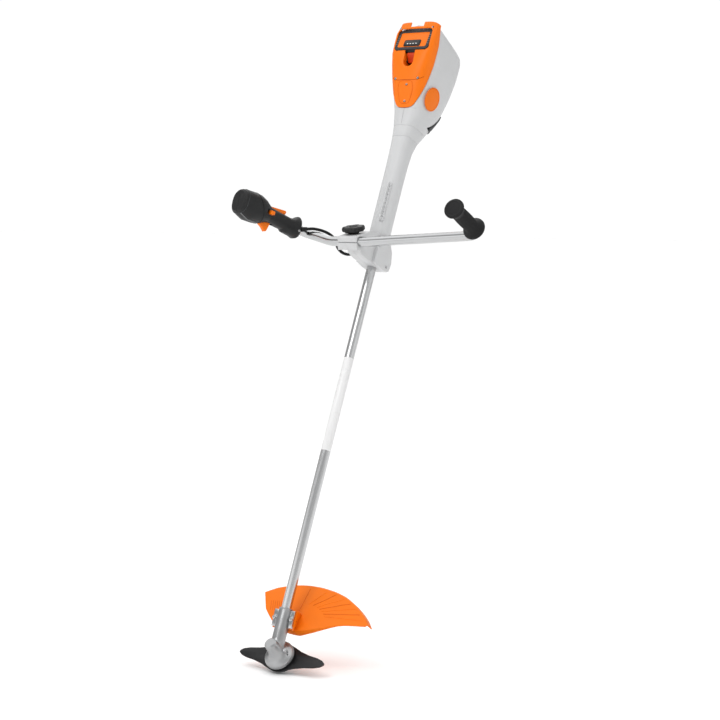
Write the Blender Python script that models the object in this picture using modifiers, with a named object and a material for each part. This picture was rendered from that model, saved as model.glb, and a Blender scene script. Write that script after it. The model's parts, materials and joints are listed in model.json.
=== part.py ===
"""Battery brush cutter with a bike handle, built as an assembly of separate pieces.

Machine axes: X points to the operator's left, -Y to the front (the upper side in use) and
Z up the tube. Their zero is the point where the drive shaft's axis meets the blade
spindle's axis. The whole machine then leans back by LEAN, and the world's origin is the
point on the harness rail where the carrying hook holds it.
"""
import math

import bmesh
import bpy
from mathutils import Matrix, Vector

MM = 0.001
GAP = 0.3 * MM              # left between pieces that touch
RUNNING = 0.3 * MM          # radial clearance of a turning piece

# ---- driving dimensions -------------------------------------------------------------
LEAN = math.radians(24.6)            # of the tube from upright
HEAD_ANGLE = math.radians(70)        # between the tube and the blade spindle

TUBE_RADIUS = 12.7 * MM
TUBE_WALL = 1.6 * MM
TUBE_BOTTOM = 45 * MM
TUBE_TOP = 1450 * MM
DRIVE_RADIUS = 4 * MM
BUSH_LENGTH = 24 * MM
BUSH_HEIGHTS = {"lower": 400 * MM, "upper": 900 * MM}

NECK_BOTTOM = 1064 * MM
NECK_TOP = 1409 * MM
COLLAR_TOP = 1440 * MM
SHELL_WALL = 3 * MM
NECK_WALL = 2.6 * MM
CAP_BOTTOM = 1488 * MM
CAP_PROUD = 1.6 * MM
VENT_HALF = 38 * MM
VENT_BOTTOM = 1462 * MM
VENT_TOP = 1522 * MM
VENT_SLITS = 5
VENT_PROUD = 3 * MM

BATTERY_WIDTH = 106 * MM
BATTERY_HEIGHT = 65 * MM
BATTERY_LENGTH = 134 * MM
BATTERY_TILT = math.radians(10)
BATTERY_FACE = Vector((0, -67 * MM, 1676 * MM))
TRAY_WALL = 2 * MM

MOTOR_BOTTOM = 1504 * MM
MOTOR_RADIUS = 27 * MM
MOTOR_LENGTH = 44 * MM

RAIL_BOTTOM = 1160 * MM
RAIL_LENGTH = 110 * MM
RAIL_OFFSET = 10 * MM                # from the mirror plane to the rail's inner face
RAIL_THICKNESS = 3 * MM
RAIL_DEPTH = 15 * MM
RAIL_HOLES = 8
RAIL_HOLE_RADIUS = 3.5 * MM
RAIL_PITCH = 12.5 * MM

BAR_RADIUS = 12.7 * MM
BAR_WALL = 2 * MM
BAR_FRONT = 120 * MM                 # in front of the tube's axis
BAR_HEIGHT = 1060 * MM
CLAMP_TILT = math.radians(35)        # of the knob's axis from the tube towards the front
CLAMP_HALF_WIDTH = 30 * MM
CLAMP_SCREW_OFFSET = 20 * MM         # from the bar's axis towards the tube
KNOB_RADIUS = 31 * MM
KNOB_HEIGHT = 19 * MM

BRACKET_HALF_WIDTH = 29 * MM
ARM_HALF_WIDTH = 20 * MM

GRIP_RADIUS = 17 * MM
GRIP_LENGTH = 122 * MM
CONTROL_LENGTH = 213 * MM
CABLE_RADIUS = 3.5 * MM

BLADE_TIP_RADIUS = 130 * MM
BLADE_HOLE_RADIUS = 12.7 * MM
BLADE_THICKNESS = 2.4 * MM
HEAD_DISH_RADIUS = 39.5 * MM
PINION_TEETH = 15
GEAR_TEETH = 21
GEAR_PITCH_RADIUS = 15 * MM
GEAR_FACE = 5 * MM                   # width of the teeth along the pitch cone
SPINDLE_RADIUS = 6 * MM
SPINDLE_TOP_RADIUS = 3.8 * MM

GUARD_WALL = 2.4 * MM
GUARD_SKIRT = 20 * MM

# ---- colours: red, green, blue, roughness, metallic ----------------------------------
FINISHES = {
    "orange_plastic": (0.93, 0.27, 0.01, 0.42, 0),
    "light_grey_plastic": (0.70, 0.71, 0.71, 0.45, 0),
    "black_plastic": (0.025, 0.027, 0.028, 0.5, 0),
    "black_rubber": (0.03, 0.03, 0.032, 0.8, 0),
    "dark_grey_plastic": (0.12, 0.125, 0.13, 0.55, 0),
    "red_plastic": (0.55, 0.05, 0.01, 0.4, 0),
    "silver_tube": (0.62, 0.63, 0.64, 0.3, 1),
    "cast_aluminium": (0.5, 0.51, 0.52, 0.45, 1),
    "steel": (0.55, 0.55, 0.56, 0.3, 1),
    "black_steel": (0.03, 0.03, 0.033, 0.4, 0.6),
    "copper": (0.7, 0.33, 0.18, 0.4, 1),
    "brass": (0.75, 0.55, 0.25, 0.35, 1),
    "board_green": (0.03, 0.16, 0.07, 0.5, 0),
}


# ---- scene and helpers ---------------------------------------------------------------
def clear_scene():
    for item in list(bpy.data.objects):
        bpy.data.objects.remove(item, do_unlink=True)


def new_collection(name):
    collection = bpy.data.collections.new(name)
    bpy.context.scene.collection.children.link(collection)
    return collection


clear_scene()
PARTS = new_collection("brush_cutter")
CUTTERS = new_collection("cutters")


def frame(name, parent=None, matrix=None):
    """An empty that carries pieces; its matrix is given in its parent's axes."""
    empty = bpy.data.objects.new(name, None)
    PARTS.objects.link(empty)
    empty.empty_display_size = 0.02
    empty.parent = parent
    if matrix is not None:
        empty.matrix_basis = matrix
    return empty


def axes_matrix(origin, z_axis, y_hint):
    """A frame whose Z is z_axis and whose Y leans as near to y_hint as it can."""
    z_axis = Vector(z_axis).normalized()
    y_axis = (Vector(y_hint) - Vector(y_hint).dot(z_axis) * z_axis).normalized()
    x_axis = y_axis.cross(z_axis)
    return Matrix.Translation(origin) @ Matrix((x_axis, y_axis, z_axis)).transposed().to_4x4()


def material(finish, name):
    red, green, blue, roughness, metallic = FINISHES[finish]
    mat = bpy.data.materials.new(name + "_" + finish)
    mat.use_nodes = True
    shader = mat.node_tree.nodes["Principled BSDF"]
    shader.inputs["Base Color"].default_value = (red, green, blue, 1)
    shader.inputs["Roughness"].default_value = roughness
    shader.inputs["Metallic"].default_value = metallic
    mat.diffuse_color = (red, green, blue, 1)
    return mat


def add(name, data, parent, finish):
    """Links a new object; a piece without a finish is a cutter or a lump to be joined."""
    obj = bpy.data.objects.new(name, data)
    obj.parent = parent
    if finish is None:
        CUTTERS.objects.link(obj)
        obj.hide_render = True
        obj.display_type = "WIRE"
    else:
        PARTS.objects.link(obj)
        data.materials.append(material(finish, name))
    return obj


def from_bmesh(name, bm, parent, finish):
    mesh = bpy.data.meshes.new(name)
    bm.to_mesh(mesh)
    bm.free()
    mesh.shade_smooth()
    mesh.set_sharp_from_angle(angle=math.radians(35))
    return add(name, mesh, parent, finish)


def bevelled(obj, width, segments=1):
    bevel = obj.modifiers.new("rounded_edges", "BEVEL")
    bevel.width = width
    bevel.segments = segments
    bevel.limit_method = "ANGLE"
    bevel.angle_limit = math.radians(40)
    return obj


def box(name, low, high, parent, finish, radius=0):
    bm = bmesh.new()
    centre = (Vector(low) + Vector(high)) / 2
    size = Vector(high) - Vector(low)
    place = Matrix.Translation(centre) @ Matrix.Diagonal((*size, 1))
    bmesh.ops.create_cube(bm, size=1, matrix=place)
    obj = from_bmesh(name, bm, parent, finish)
    if radius:
        bevelled(obj, radius)
    return obj


def cylinder(name, radius, start, end, parent, finish, sides=24, top_radius=None):
    """A round bar or cone between two points given in the parent's axes."""
    start, end = Vector(start), Vector(end)
    bm = bmesh.new()
    along = end - start
    turn = along.to_track_quat("Z", "Y").to_matrix().to_4x4()
    place = Matrix.Translation((start + end) / 2) @ turn
    bmesh.ops.create_cone(bm, cap_ends=True, segments=sides, radius1=radius,
                          radius2=radius if top_radius is None else top_radius,
                          depth=along.length, matrix=place)
    return from_bmesh(name, bm, parent, finish)


def turned(name, profile, parent, finish, sides=24, ring=False):
    """Turns (radius, height) points about Z. A ring's profile closes on itself."""
    bm = bmesh.new()
    points = [bm.verts.new((radius, 0, height)) for radius, height in profile]
    for first, second in zip(points, points[1:] + points[:1]):
        if second is not points[0] or ring:
            bm.edges.new((first, second))
    mesh = bpy.data.meshes.new(name)
    bm.to_mesh(mesh)
    bm.free()
    obj = add(name, mesh, parent, finish)
    screw = obj.modifiers.new("turned", "SCREW")
    screw.steps = sides
    screw.render_steps = sides
    screw.use_merge_vertices = True
    screw.merge_threshold = 1e-5
    return obj


def ring(name, inner, outer, low, high, parent, finish, sides=24):
    profile = [(outer, high), (outer, low), (inner, low), (inner, high)]
    return turned(name, profile, parent, finish, sides, ring=True)


def curve_to_mesh(name, curve, parent, finish):
    """A curve object becomes a mesh with its caps welded on."""
    holder = bpy.data.objects.new(name + "_curve", curve)
    bpy.context.scene.collection.objects.link(holder)
    bpy.context.view_layer.update()
    evaluated = holder.evaluated_get(bpy.context.evaluated_depsgraph_get())
    mesh = bpy.data.meshes.new_from_object(evaluated)
    bpy.data.objects.remove(holder)
    bm = bmesh.new()
    bm.from_mesh(mesh)
    bmesh.ops.remove_doubles(bm, verts=bm.verts, dist=1e-6)
    bpy.data.meshes.remove(mesh)
    return from_bmesh(name, bm, parent, finish)


def plate(name, outline, low, high, parent, finish, axis="Z"):
    """A flat outline pushed out along Z between low and high, or along X from a
    (y, z) outline when axis is X."""
    curve = bpy.data.curves.new(name, "CURVE")
    curve.dimensions = "2D"
    curve.fill_mode = "BOTH"
    curve.extrude = (high - low) / 2
    spline = curve.splines.new("POLY")
    spline.points.add(len(outline) - 1)
    for point, (u, v) in zip(spline.points, outline):
        point.co = (u, v, 0, 1)
    spline.use_cyclic_u = True
    obj = curve_to_mesh(name, curve, parent, finish)
    middle = (low + high) / 2
    if axis == "X":
        turn = Matrix(((0, 0, 1, 0), (1, 0, 0, 0), (0, 1, 0, 0), (0, 0, 0, 1)))
        obj.data.transform(Matrix.Translation((middle, 0, 0)) @ turn)
    else:
        obj.data.transform(Matrix.Translation((0, 0, middle)))
    return obj


def rod(name, points, radius, parent, finish, resolution=4, capped=True):
    """A round rod or tube skin along a list of points."""
    curve = bpy.data.curves.new(name, "CURVE")
    curve.dimensions = "3D"
    curve.bevel_depth = radius
    curve.bevel_resolution = resolution
    curve.use_fill_caps = capped
    spline = curve.splines.new("POLY")
    spline.points.add(len(points) - 1)
    for point, place in zip(spline.points, points):
        point.co = (*place, 1)
    return curve_to_mesh(name, curve, parent, finish)


def solidify(obj, thickness, outward=False):
    wall = obj.modifiers.new("wall", "SOLIDIFY")
    wall.thickness = thickness
    wall.offset = 1 if outward else -1
    wall.use_even_offset = True
    wall.use_quality_normals = True
    return obj


def loft(name, rings, parent, finish, capped=True):
    """Skins a list of closed rings that all have the same number of points."""
    bm = bmesh.new()
    rows = [[bm.verts.new(point) for point in row] for row in rings]
    for lower, upper in zip(rows, rows[1:]):
        count = len(lower)
        for i in range(count):
            j = (i + 1) % count
            bm.faces.new((lower[i], lower[j], upper[j], upper[i]))
    if capped:
        bm.faces.new(list(reversed(rows[0])))
        bm.faces.new(rows[-1])
        bmesh.ops.recalc_face_normals(bm, faces=bm.faces)
    return from_bmesh(name, bm, parent, finish)


def sheet(name, rows, parent, finish, flip=False):
    """Skins a grid of points that is open at its edges."""
    bm = bmesh.new()
    grid = [[bm.verts.new(point) for point in row] for row in rows]
    for lower, upper in zip(grid, grid[1:]):
        for i in range(len(lower) - 1):
            corners = (lower[i], lower[i + 1], upper[i + 1], upper[i])
            bm.faces.new(tuple(reversed(corners)) if flip else corners)
    bmesh.ops.remove_doubles(bm, verts=bm.verts, dist=1e-5)
    return from_bmesh(name, bm, parent, finish)


def boolean(target, tool, operation):
    step = target.modifiers.new(tool.name, "BOOLEAN")
    step.operation = operation
    step.object = tool
    return target


def cut(target, *tools):
    for tool in tools:
        boolean(target, tool, "DIFFERENCE")
    return target


def join(target, *lumps):
    for lump in lumps:
        boolean(target, lump, "UNION")
    return target


def lerp(stations, place):
    """Values between hand-set stations [(place, value, ...)]."""
    if place <= stations[0][0]:
        return stations[0][1:]
    for low, high in zip(stations, stations[1:]):
        if place <= high[0]:
            share = (place - low[0]) / (high[0] - low[0])
            return tuple(a + share * (b - a) for a, b in zip(low[1:], high[1:]))
    return stations[-1][1:]


def rounded_path(corners, steps=6):
    """Replaces each inner corner (point, radius) of a path by an arc."""
    path = [Vector(corners[0][0])]
    for before, here, after in zip(corners, corners[1:], corners[2:]):
        point, radius = Vector(here[0]), here[1]
        back = (Vector(before[0]) - point).normalized()
        ahead = (Vector(after[0]) - point).normalized()
        half = back.angle(ahead) / 2
        reach = radius / math.tan(half)
        centre = point + (back + ahead).normalized() * (radius / math.sin(half))
        start, end = point + back * reach - centre, point + ahead * reach - centre
        turn = start.angle(end)
        side = (end - start * math.cos(turn)).normalized() * radius
        for i in range(steps + 1):
            share = turn * i / steps
            path.append(centre + start * math.cos(share) + side * math.sin(share))
    path.append(Vector(corners[-1][0]))
    return path


def smooth_path(points, step):
    """A Catmull-Rom curve through the points, sampled about every step."""
    points = [Vector(point) for point in points]
    ends = [points[0] * 2 - points[1]] + points + [points[-1] * 2 - points[-2]]
    path = []
    for a, b, c, d in zip(ends, ends[1:], ends[2:], ends[3:]):
        count = max(1, round((c - b).length / step))
        for i in range(count):
            t = i / count
            path.append(0.5 * (2 * b + (c - a) * t + (2 * a - 5 * b + 4 * c - d) * t * t
                               + (3 * b - a - 3 * c + d) * t ** 3))
    path.append(points[-1])
    return path


def superellipse(angle, half_width, front, back, centre, power, front_power=None):
    """A point (x, y) of a rounded section; the angle runs from the front to the left."""
    sine, cosine = math.sin(angle), math.cos(angle)
    if front_power and cosine > 0:
        power = front_power
    x = half_width * math.copysign(abs(sine) ** (2 / power), sine)
    reach = front + centre if cosine > 0 else back - centre
    return x, centre - reach * math.copysign(abs(cosine) ** (2 / power), cosine)


# ---- frames --------------------------------------------------------------------------
RAIL_FACE_X = RAIL_OFFSET + RAIL_THICKNESS
RAIL_FOOT = 24 * MM                  # depth at which the rail stands on the neck
HOOK_POINT = Vector((RAIL_FACE_X, -(RAIL_FOOT + RAIL_DEPTH / 2), RAIL_BOTTOM + RAIL_LENGTH / 2))
LEANING = Matrix.Rotation(-LEAN, 4, "X")
MACHINE = frame("machine", None, LEANING @ Matrix.Translation(-HOOK_POINT))
SPINDLE = frame("spindle_axis", MACHINE, Matrix.Rotation(HEAD_ANGLE, 4, "X"))
BAY = frame("battery_bay", MACHINE,
            Matrix.Translation(BATTERY_FACE) @ Matrix.Rotation(-BATTERY_TILT, 4, "X"))
CLAMP = frame("bar_clamp", MACHINE,
              Matrix.Translation((0, -BAR_FRONT, BAR_HEIGHT)) @ Matrix.Rotation(CLAMP_TILT, 4, "X"))


# ---- gear train ----------------------------------------------------------------------
SHAFT_TO_GEAR = math.pi - HEAD_ANGLE                # between the two gears' outward axes
RATIO = GEAR_TEETH / PINION_TEETH
PINION_CONE = math.atan2(math.sin(SHAFT_TO_GEAR), RATIO + math.cos(SHAFT_TO_GEAR))
GEAR_CONE = SHAFT_TO_GEAR - PINION_CONE
CONE_LENGTH = GEAR_PITCH_RADIUS / math.sin(GEAR_CONE)
MODULE = 2 * GEAR_PITCH_RADIUS / GEAR_TEETH
TOOTH_TOP = 0.42 * MODULE
TOOTH_ROOT = 0.75 * MODULE


def bevel_gear(name, teeth, cone, phase, hub_radius, hub_end, bore, parent, flip):
    """A bevel gear whose pitch cone's tip is the frame's zero, facing along Z or -Z."""
    outline = ((-0.30, -TOOTH_ROOT), (-0.13, TOOTH_TOP), (0.13, TOOTH_TOP), (0.30, -TOOTH_ROOT))
    rows = []
    for distance in (CONE_LENGTH - GEAR_FACE, CONE_LENGTH):
        row = []
        for tooth in range(teeth):
            for share, height in outline:
                angle = phase + (tooth + share) * 2 * math.pi / teeth
                scale = distance / CONE_LENGTH
                along = distance * math.cos(cone) - height * scale * math.sin(cone)
                radius = distance * math.sin(cone) + height * scale * math.cos(cone)
                row.append(Vector((radius * math.cos(angle), radius * math.sin(angle), along)))
        rows.append(row)
    for radius, height in ((hub_radius, rows[1][0].z + 1.2 * MM), (hub_radius, hub_end)):
        row = []
        for point in rows[1]:
            flat = Vector((point.x, point.y, 0)).normalized() * radius
            row.append(Vector((flat.x, flat.y, height)))
        rows.append(row)
    if flip:
        rows = [[Vector((p.x, p.y, -p.z)) for p in row] for row in rows]
    gear = loft(name, rows, parent, "steel")
    low, high = sorted((rows[0][0].z * 0.2, rows[-1][0].z * 1.5))
    hole = cylinder(name + "_bore", bore, (0, 0, low), (0, 0, high), parent, None, 24)
    return cut(gear, hole)


PINION_HUB_END = 19 * MM
GEAR_HUB_END = 13 * MM


def drive_train():
    cylinder("drive_shaft", DRIVE_RADIUS, (0, 0, 8 * MM), (0, 0, MOTOR_BOTTOM - 14 * MM),
             MACHINE, "steel", 24)
    bevel_gear("pinion_gear", PINION_TEETH, PINION_CONE, -math.pi / 2, 9 * MM, PINION_HUB_END,
               DRIVE_RADIUS + GAP / 3, MACHINE, False)
    bevel_gear("crown_gear", GEAR_TEETH, GEAR_CONE, math.pi / 2, 12 * MM,
               GEAR_HUB_END, SPINDLE_RADIUS + GAP / 3, SPINDLE, True)
    bearing("pinion_bearing", DRIVE_RADIUS, TUBE_RADIUS, PINION_HUB_END + GAP,
            PINION_HUB_END + 10 * MM, MACHINE)
    for place, height in BUSH_HEIGHTS.items():
        ring("shaft_bush_" + place, DRIVE_RADIUS + RUNNING, TUBE_RADIUS - TUBE_WALL - GAP,
             height, height + BUSH_LENGTH, MACHINE, "black_rubber", 24)


def bearing(name, shaft_radius, seat_radius, low, high, parent):
    """A sealed bearing between a shaft and its seat."""
    return ring(name, shaft_radius + GAP, seat_radius, low, high, parent, "steel")


# ---- gear head -----------------------------------------------------------------------
HEAD_BOTTOM = -26 * MM
LOWER_BEARING = (-21.5 * MM, -GEAR_HUB_END - GAP)
LOWER_BEARING_SEAT = 13 * MM
TOP_BEARING = (19 * MM, 27 * MM)
TOP_BEARING_SEAT = 9 * MM
SOCKET_RADIUS = 17.5 * MM
SOCKET_TOP = 108 * MM
BOSS_TOP = 36 * MM
PLUG_X = 24 * MM
PLUG_Y = 5 * MM
PLUG_SEAT = 1 * MM


def gear_head():
    outside = [(0, BOSS_TOP), (12, BOSS_TOP / MM), (13.5, 35), (16.3, 32), (16.6, 24), (17.8, 14),
               (20.5, 4), (24, -5), (31, -10.5), (36.5, -14), (39, -17)]
    profile = [(0, BOSS_TOP)] + [(r * MM, z * MM) for r, z in outside[1:]]
    profile += [(HEAD_DISH_RADIUS, -18.5 * MM), (HEAD_DISH_RADIUS, -20.5 * MM),
                (HEAD_DISH_RADIUS - 1 * MM, -21 * MM), (HEAD_DISH_RADIUS - 1 * MM, -21.8 * MM),
                (HEAD_DISH_RADIUS, -22.3 * MM), (HEAD_DISH_RADIUS, HEAD_BOTTOM), (0, HEAD_BOTTOM)]
    head = turned("gear_head_housing", profile, SPINDLE, "cast_aluminium", 36)
    socket_profile = [(0, SOCKET_TOP), (SOCKET_RADIUS, SOCKET_TOP), (SOCKET_RADIUS, SOCKET_TOP - 2 * MM),
                      (SOCKET_RADIUS - 0.8 * MM, SOCKET_TOP - 3 * MM),
                      (SOCKET_RADIUS - 0.8 * MM, SOCKET_TOP - 5 * MM),
                      (SOCKET_RADIUS, SOCKET_TOP - 6 * MM), (SOCKET_RADIUS, 30 * MM),
                      (SOCKET_RADIUS + 1.5 * MM, 6 * MM), (0, 2 * MM)]
    socket = turned("head_socket_lump", socket_profile, MACHINE, None, 28)
    boss = cylinder("grease_boss_lump", 6 * MM, (PLUG_X, PLUG_Y, -16 * MM),
                    (PLUG_X, PLUG_Y, PLUG_SEAT), SPINDLE, None, 24)
    join(head, socket, boss)
    bottom = HEAD_BOTTOM - 1 * MM
    chamber = turned("gear_chamber", [(0, 14 * MM), (12 * MM, 14 * MM), (16.8 * MM, 4 * MM),
                                      (16.8 * MM, -GEAR_HUB_END), (0, -GEAR_HUB_END)],
                     SPINDLE, None, 28)
    seat_low = cylinder("lower_bearing_seat", LOWER_BEARING_SEAT + GAP, (0, 0, bottom),
                        (0, 0, -GEAR_HUB_END + 1 * MM), SPINDLE, None, 28)
    seat_top = cylinder("top_bearing_seat", TOP_BEARING_SEAT + GAP, (0, 0, 10 * MM),
                        (0, 0, TOP_BEARING[1] + GAP), SPINDLE, None, 32)
    bore = cylinder("tube_socket_bore", TUBE_RADIUS + GAP, (0, 0, 3 * MM),
                    (0, 0, SOCKET_TOP + 1 * MM), MACHINE, None, 28)
    grease_hole = cylinder("grease_hole", 3 * MM + GAP, (PLUG_X, PLUG_Y, PLUG_SEAT - 8 * MM),
                           (PLUG_X, PLUG_Y, PLUG_SEAT + 1 * MM), SPINDLE, None, 20)
    plug_face = cylinder("grease_plug_face", 4.8 * MM, (PLUG_X, PLUG_Y, PLUG_SEAT),
                         (PLUG_X, PLUG_Y, PLUG_SEAT + 14 * MM), SPINDLE, None, 20)
    stop_hole = cylinder("stop_pin_hole", 2 * MM, (31 * MM, -1 * MM, -30 * MM),
                         (31 * MM, -1 * MM, 0), SPINDLE, None, 16)
    cut(head, chamber, seat_low, seat_top, bore, grease_hole, plug_face, stop_hole)
    bearing("spindle_lower_bearing", SPINDLE_RADIUS, LOWER_BEARING_SEAT, *LOWER_BEARING, SPINDLE)
    bearing("spindle_top_bearing", SPINDLE_TOP_RADIUS, TOP_BEARING_SEAT, *TOP_BEARING, SPINDLE)
    plug = turned("grease_plug", [(0, 2 * MM), (3.6 * MM, 2 * MM), (4.2 * MM, 1.4 * MM),
                                  (4.2 * MM, GAP), (3 * MM, GAP), (3 * MM, -7 * MM), (0, -7 * MM)],
                  SPINDLE, "steel", 20)
    plug.location = (PLUG_X, PLUG_Y, PLUG_SEAT)
    slot = box("grease_plug_slot", (PLUG_X - 0.7 * MM, PLUG_Y - 6 * MM, PLUG_SEAT + 1.2 * MM),
               (PLUG_X + 0.7 * MM, PLUG_Y + 6 * MM, PLUG_SEAT + 4 * MM), SPINDLE, None)
    cut(plug, slot)


# ---- cutting tool --------------------------------------------------------------------
PLATE_TOP = -28.5 * MM
BLADE_TOP = PLATE_TOP - 3.5 * MM
BLADE_BOTTOM = BLADE_TOP - BLADE_THICKNESS
WASHER_BOTTOM = BLADE_BOTTOM - GAP - 2 * MM
RIDER_BOTTOM = -54 * MM
NUT_BOTTOM = WASHER_BOTTOM - GAP - 9 * MM


def blade_outline():
    """One wing's edge, from the right end of the waist to the left end; the other is its turn."""
    hub, tip = 41 * MM, BLADE_TIP_RADIUS
    wing = [(hub * math.cos(math.radians(a)), hub * math.sin(math.radians(a))) for a in (-84, -66)]
    wing += [(30 * MM, -33 * MM), (50 * MM, -25 * MM), (76 * MM, -18.5 * MM), (104 * MM, -14.5 * MM),
             (tip - 9 * MM, -9.5 * MM), (tip, -3 * MM), (tip, 3 * MM), (tip - 9 * MM, 9.5 * MM),
             (104 * MM, 14.5 * MM), (76 * MM, 18.5 * MM), (50 * MM, 25 * MM), (30 * MM, 33 * MM)]
    wing += [(hub * math.cos(math.radians(a)), hub * math.sin(math.radians(a))) for a in (66, 84)]
    return wing + [(-x, -y) for x, y in wing]


def cutting_tool():
    spindle = turned("output_spindle",
                     [(0, TOP_BEARING[1]), (SPINDLE_TOP_RADIUS, TOP_BEARING[1] - 0.5 * MM),
                      (SPINDLE_TOP_RADIUS, -3.5 * MM), (SPINDLE_RADIUS, -4.5 * MM),
                      (SPINDLE_RADIUS, WASHER_BOTTOM + 1.5 * MM),
                      (SPINDLE_RADIUS - 1 * MM, WASHER_BOTTOM + 0.5 * MM),
                      (SPINDLE_RADIUS - 1 * MM, NUT_BOTTOM - 1.5 * MM), (0, NUT_BOTTOM - 2 * MM)],
                     SPINDLE, "steel", 32)
    hub = SPINDLE_RADIUS + GAP / 2
    spigot = BLADE_HOLE_RADIUS - GAP
    turned("thrust_plate", [(38 * MM, PLATE_TOP - 1 * MM), (38 * MM, BLADE_TOP + GAP),
                            (spigot, BLADE_TOP + GAP), (spigot, BLADE_BOTTOM + 0.2 * MM),
                            (hub, BLADE_BOTTOM + 0.2 * MM), (hub, HEAD_BOTTOM - 0.6 * MM),
                            (10 * MM, HEAD_BOTTOM - 0.6 * MM), (12 * MM, PLATE_TOP),
                            (37 * MM, PLATE_TOP)], SPINDLE, "black_steel", 28, ring=True)
    blade = plate("cutting_blade", blade_outline(), BLADE_BOTTOM, BLADE_TOP, SPINDLE, "black_steel")
    eye = cylinder("blade_eye", BLADE_HOLE_RADIUS, (0, 0, BLADE_BOTTOM - 1 * MM),
                   (0, 0, BLADE_TOP + 1 * MM), SPINDLE, None, 28)
    cut(blade, eye)
    ring("thrust_washer", hub, 20 * MM, WASHER_BOTTOM, BLADE_BOTTOM - GAP, SPINDLE, "steel", 32)
    rider_hub = 20 * MM + GAP
    turned("rider_plate", [(36 * MM, BLADE_BOTTOM - GAP), (36.5 * MM, BLADE_BOTTOM - 1.5 * MM),
                           (35 * MM, -46 * MM), (31.5 * MM, -51 * MM), (26 * MM, -53.5 * MM),
                           (19 * MM, RIDER_BOTTOM), (15 * MM, RIDER_BOTTOM), (15 * MM, -52 * MM),
                           (19 * MM, -51.5 * MM), (25 * MM, -51 * MM), (30 * MM, -48.5 * MM),
                           (32.5 * MM, -45 * MM), (33 * MM, BLADE_BOTTOM - 3 * MM),
                           (rider_hub, BLADE_BOTTOM - 2.6 * MM), (rider_hub, BLADE_BOTTOM - GAP)],
           SPINDLE, "black_steel", 28, ring=True)
    nut_profile = [(8.5 * MM * math.cos(math.radians(60 * i)), 8.5 * MM * math.sin(math.radians(60 * i)))
                   for i in range(6)]
    nut = plate("blade_nut", nut_profile, NUT_BOTTOM, WASHER_BOTTOM - GAP, SPINDLE, "steel")
    flange = cylinder("nut_flange_lump", 10.5 * MM, (0, 0, WASHER_BOTTOM - GAP - 2 * MM),
                      (0, 0, WASHER_BOTTOM - GAP), SPINDLE, None, 24)
    thread = cylinder("nut_thread", SPINDLE_RADIUS - 1 * MM + GAP / 2, (0, 0, NUT_BOTTOM - 1 * MM),
                      (0, 0, WASHER_BOTTOM + 1 * MM), SPINDLE, None, 24)
    cut(join(nut, flange), thread)
    return spindle


# ---- guard ---------------------------------------------------------------------------
GUARD_TOP = -1 * MM                  # height of the guard's roof at its bracket
GUARD_FALL_RIGHT = 17 * MM           # from there to the rim
GUARD_FALL_LEFT = 5 * MM
GUARD_LIP = 20 * MM
GUARD_PLEAT = 1.6 * MM               # of the rays pressed into the roof


def guard_edges(count):
    """Plan of the guard in the spindle's axes: matching points on its inner and outer edge."""
    outer = [(-132, 172), (-95, 192), (-55, 202), (-10, 206), (35, 204), (80, 197), (120, 186),
             (152, 170), (180, 152), (202, 134), (219, 115)]
    inner = [(-98, 118), (-78, 100), (-56, 82), (-34, 66), (0, 61), (34, 62), (72, 74),
             (110, 88), (148, 101), (184, 106), (213, 109)]
    along = [i / (len(outer) - 1) for i in range(len(outer))]
    pairs = []
    for i in range(count):
        share = i / (count - 1)
        pairs.append((lerp([(a, *p) for a, p in zip(along, inner)], share),
                      lerp([(a, *p) for a, p in zip(along, outer)], share)))
    return pairs


def guard_roof(x, b):
    """Height of the roof: it falls from the bracket towards the rim."""
    reach = math.hypot(x - 5, b - 70) / 185
    share = min(1, max(0, (80 - x) / 160))
    return GUARD_TOP - (GUARD_FALL_LEFT + (GUARD_FALL_RIGHT - GUARD_FALL_LEFT) * share) * reach ** 1.4


def guard_lip(x):
    """Depth of the fold along the inner edge: it runs out towards both ends."""
    run_out = 1 - (x - 25) / 125 if x > 25 else 1 + (x - 25) / 90
    return GUARD_LIP * min(1, max(0.14, run_out))


def blade_guard():
    rows = []
    for i, (inner, outer) in enumerate(guard_edges(23)):
        pleat = GUARD_PLEAT * (i % 2 if inner[0] > 20 else 0)
        row = []
        for share in (0, 0.02, 0.2, 0.4, 0.6, 0.8, 0.97, 1, 1.01):
            x = inner[0] + min(share, 1) * (outer[0] - inner[0])
            b = inner[1] + min(share, 1) * (outer[1] - inner[1])
            height = guard_roof(x, b) - pleat * share
            if share == 0:
                height -= guard_lip(x)
            if share == 1:
                height -= 4 * MM
            if share > 1:
                height -= GUARD_SKIRT
                x, b = x * 1.012, b * 1.012
            row.append(Vector((x * MM, b * MM, height)))
        rows.append(row)
    guard = sheet("guard", rows, SPINDLE, "orange_plastic", flip=True)
    solidify(guard, GUARD_WALL)
    return guard


BRACKET_LOW = 58 * MM
BRACKET_HIGH = 106 * MM
BRACKET_HALF = 31 * MM
BLOCK_HALF = 23 * MM
EAR_HALF = 3 * MM                    # half the thickness of the strap's ears
STRAP_WALL = 3 * MM
GUARD_SCREW_X = 26 * MM


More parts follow.
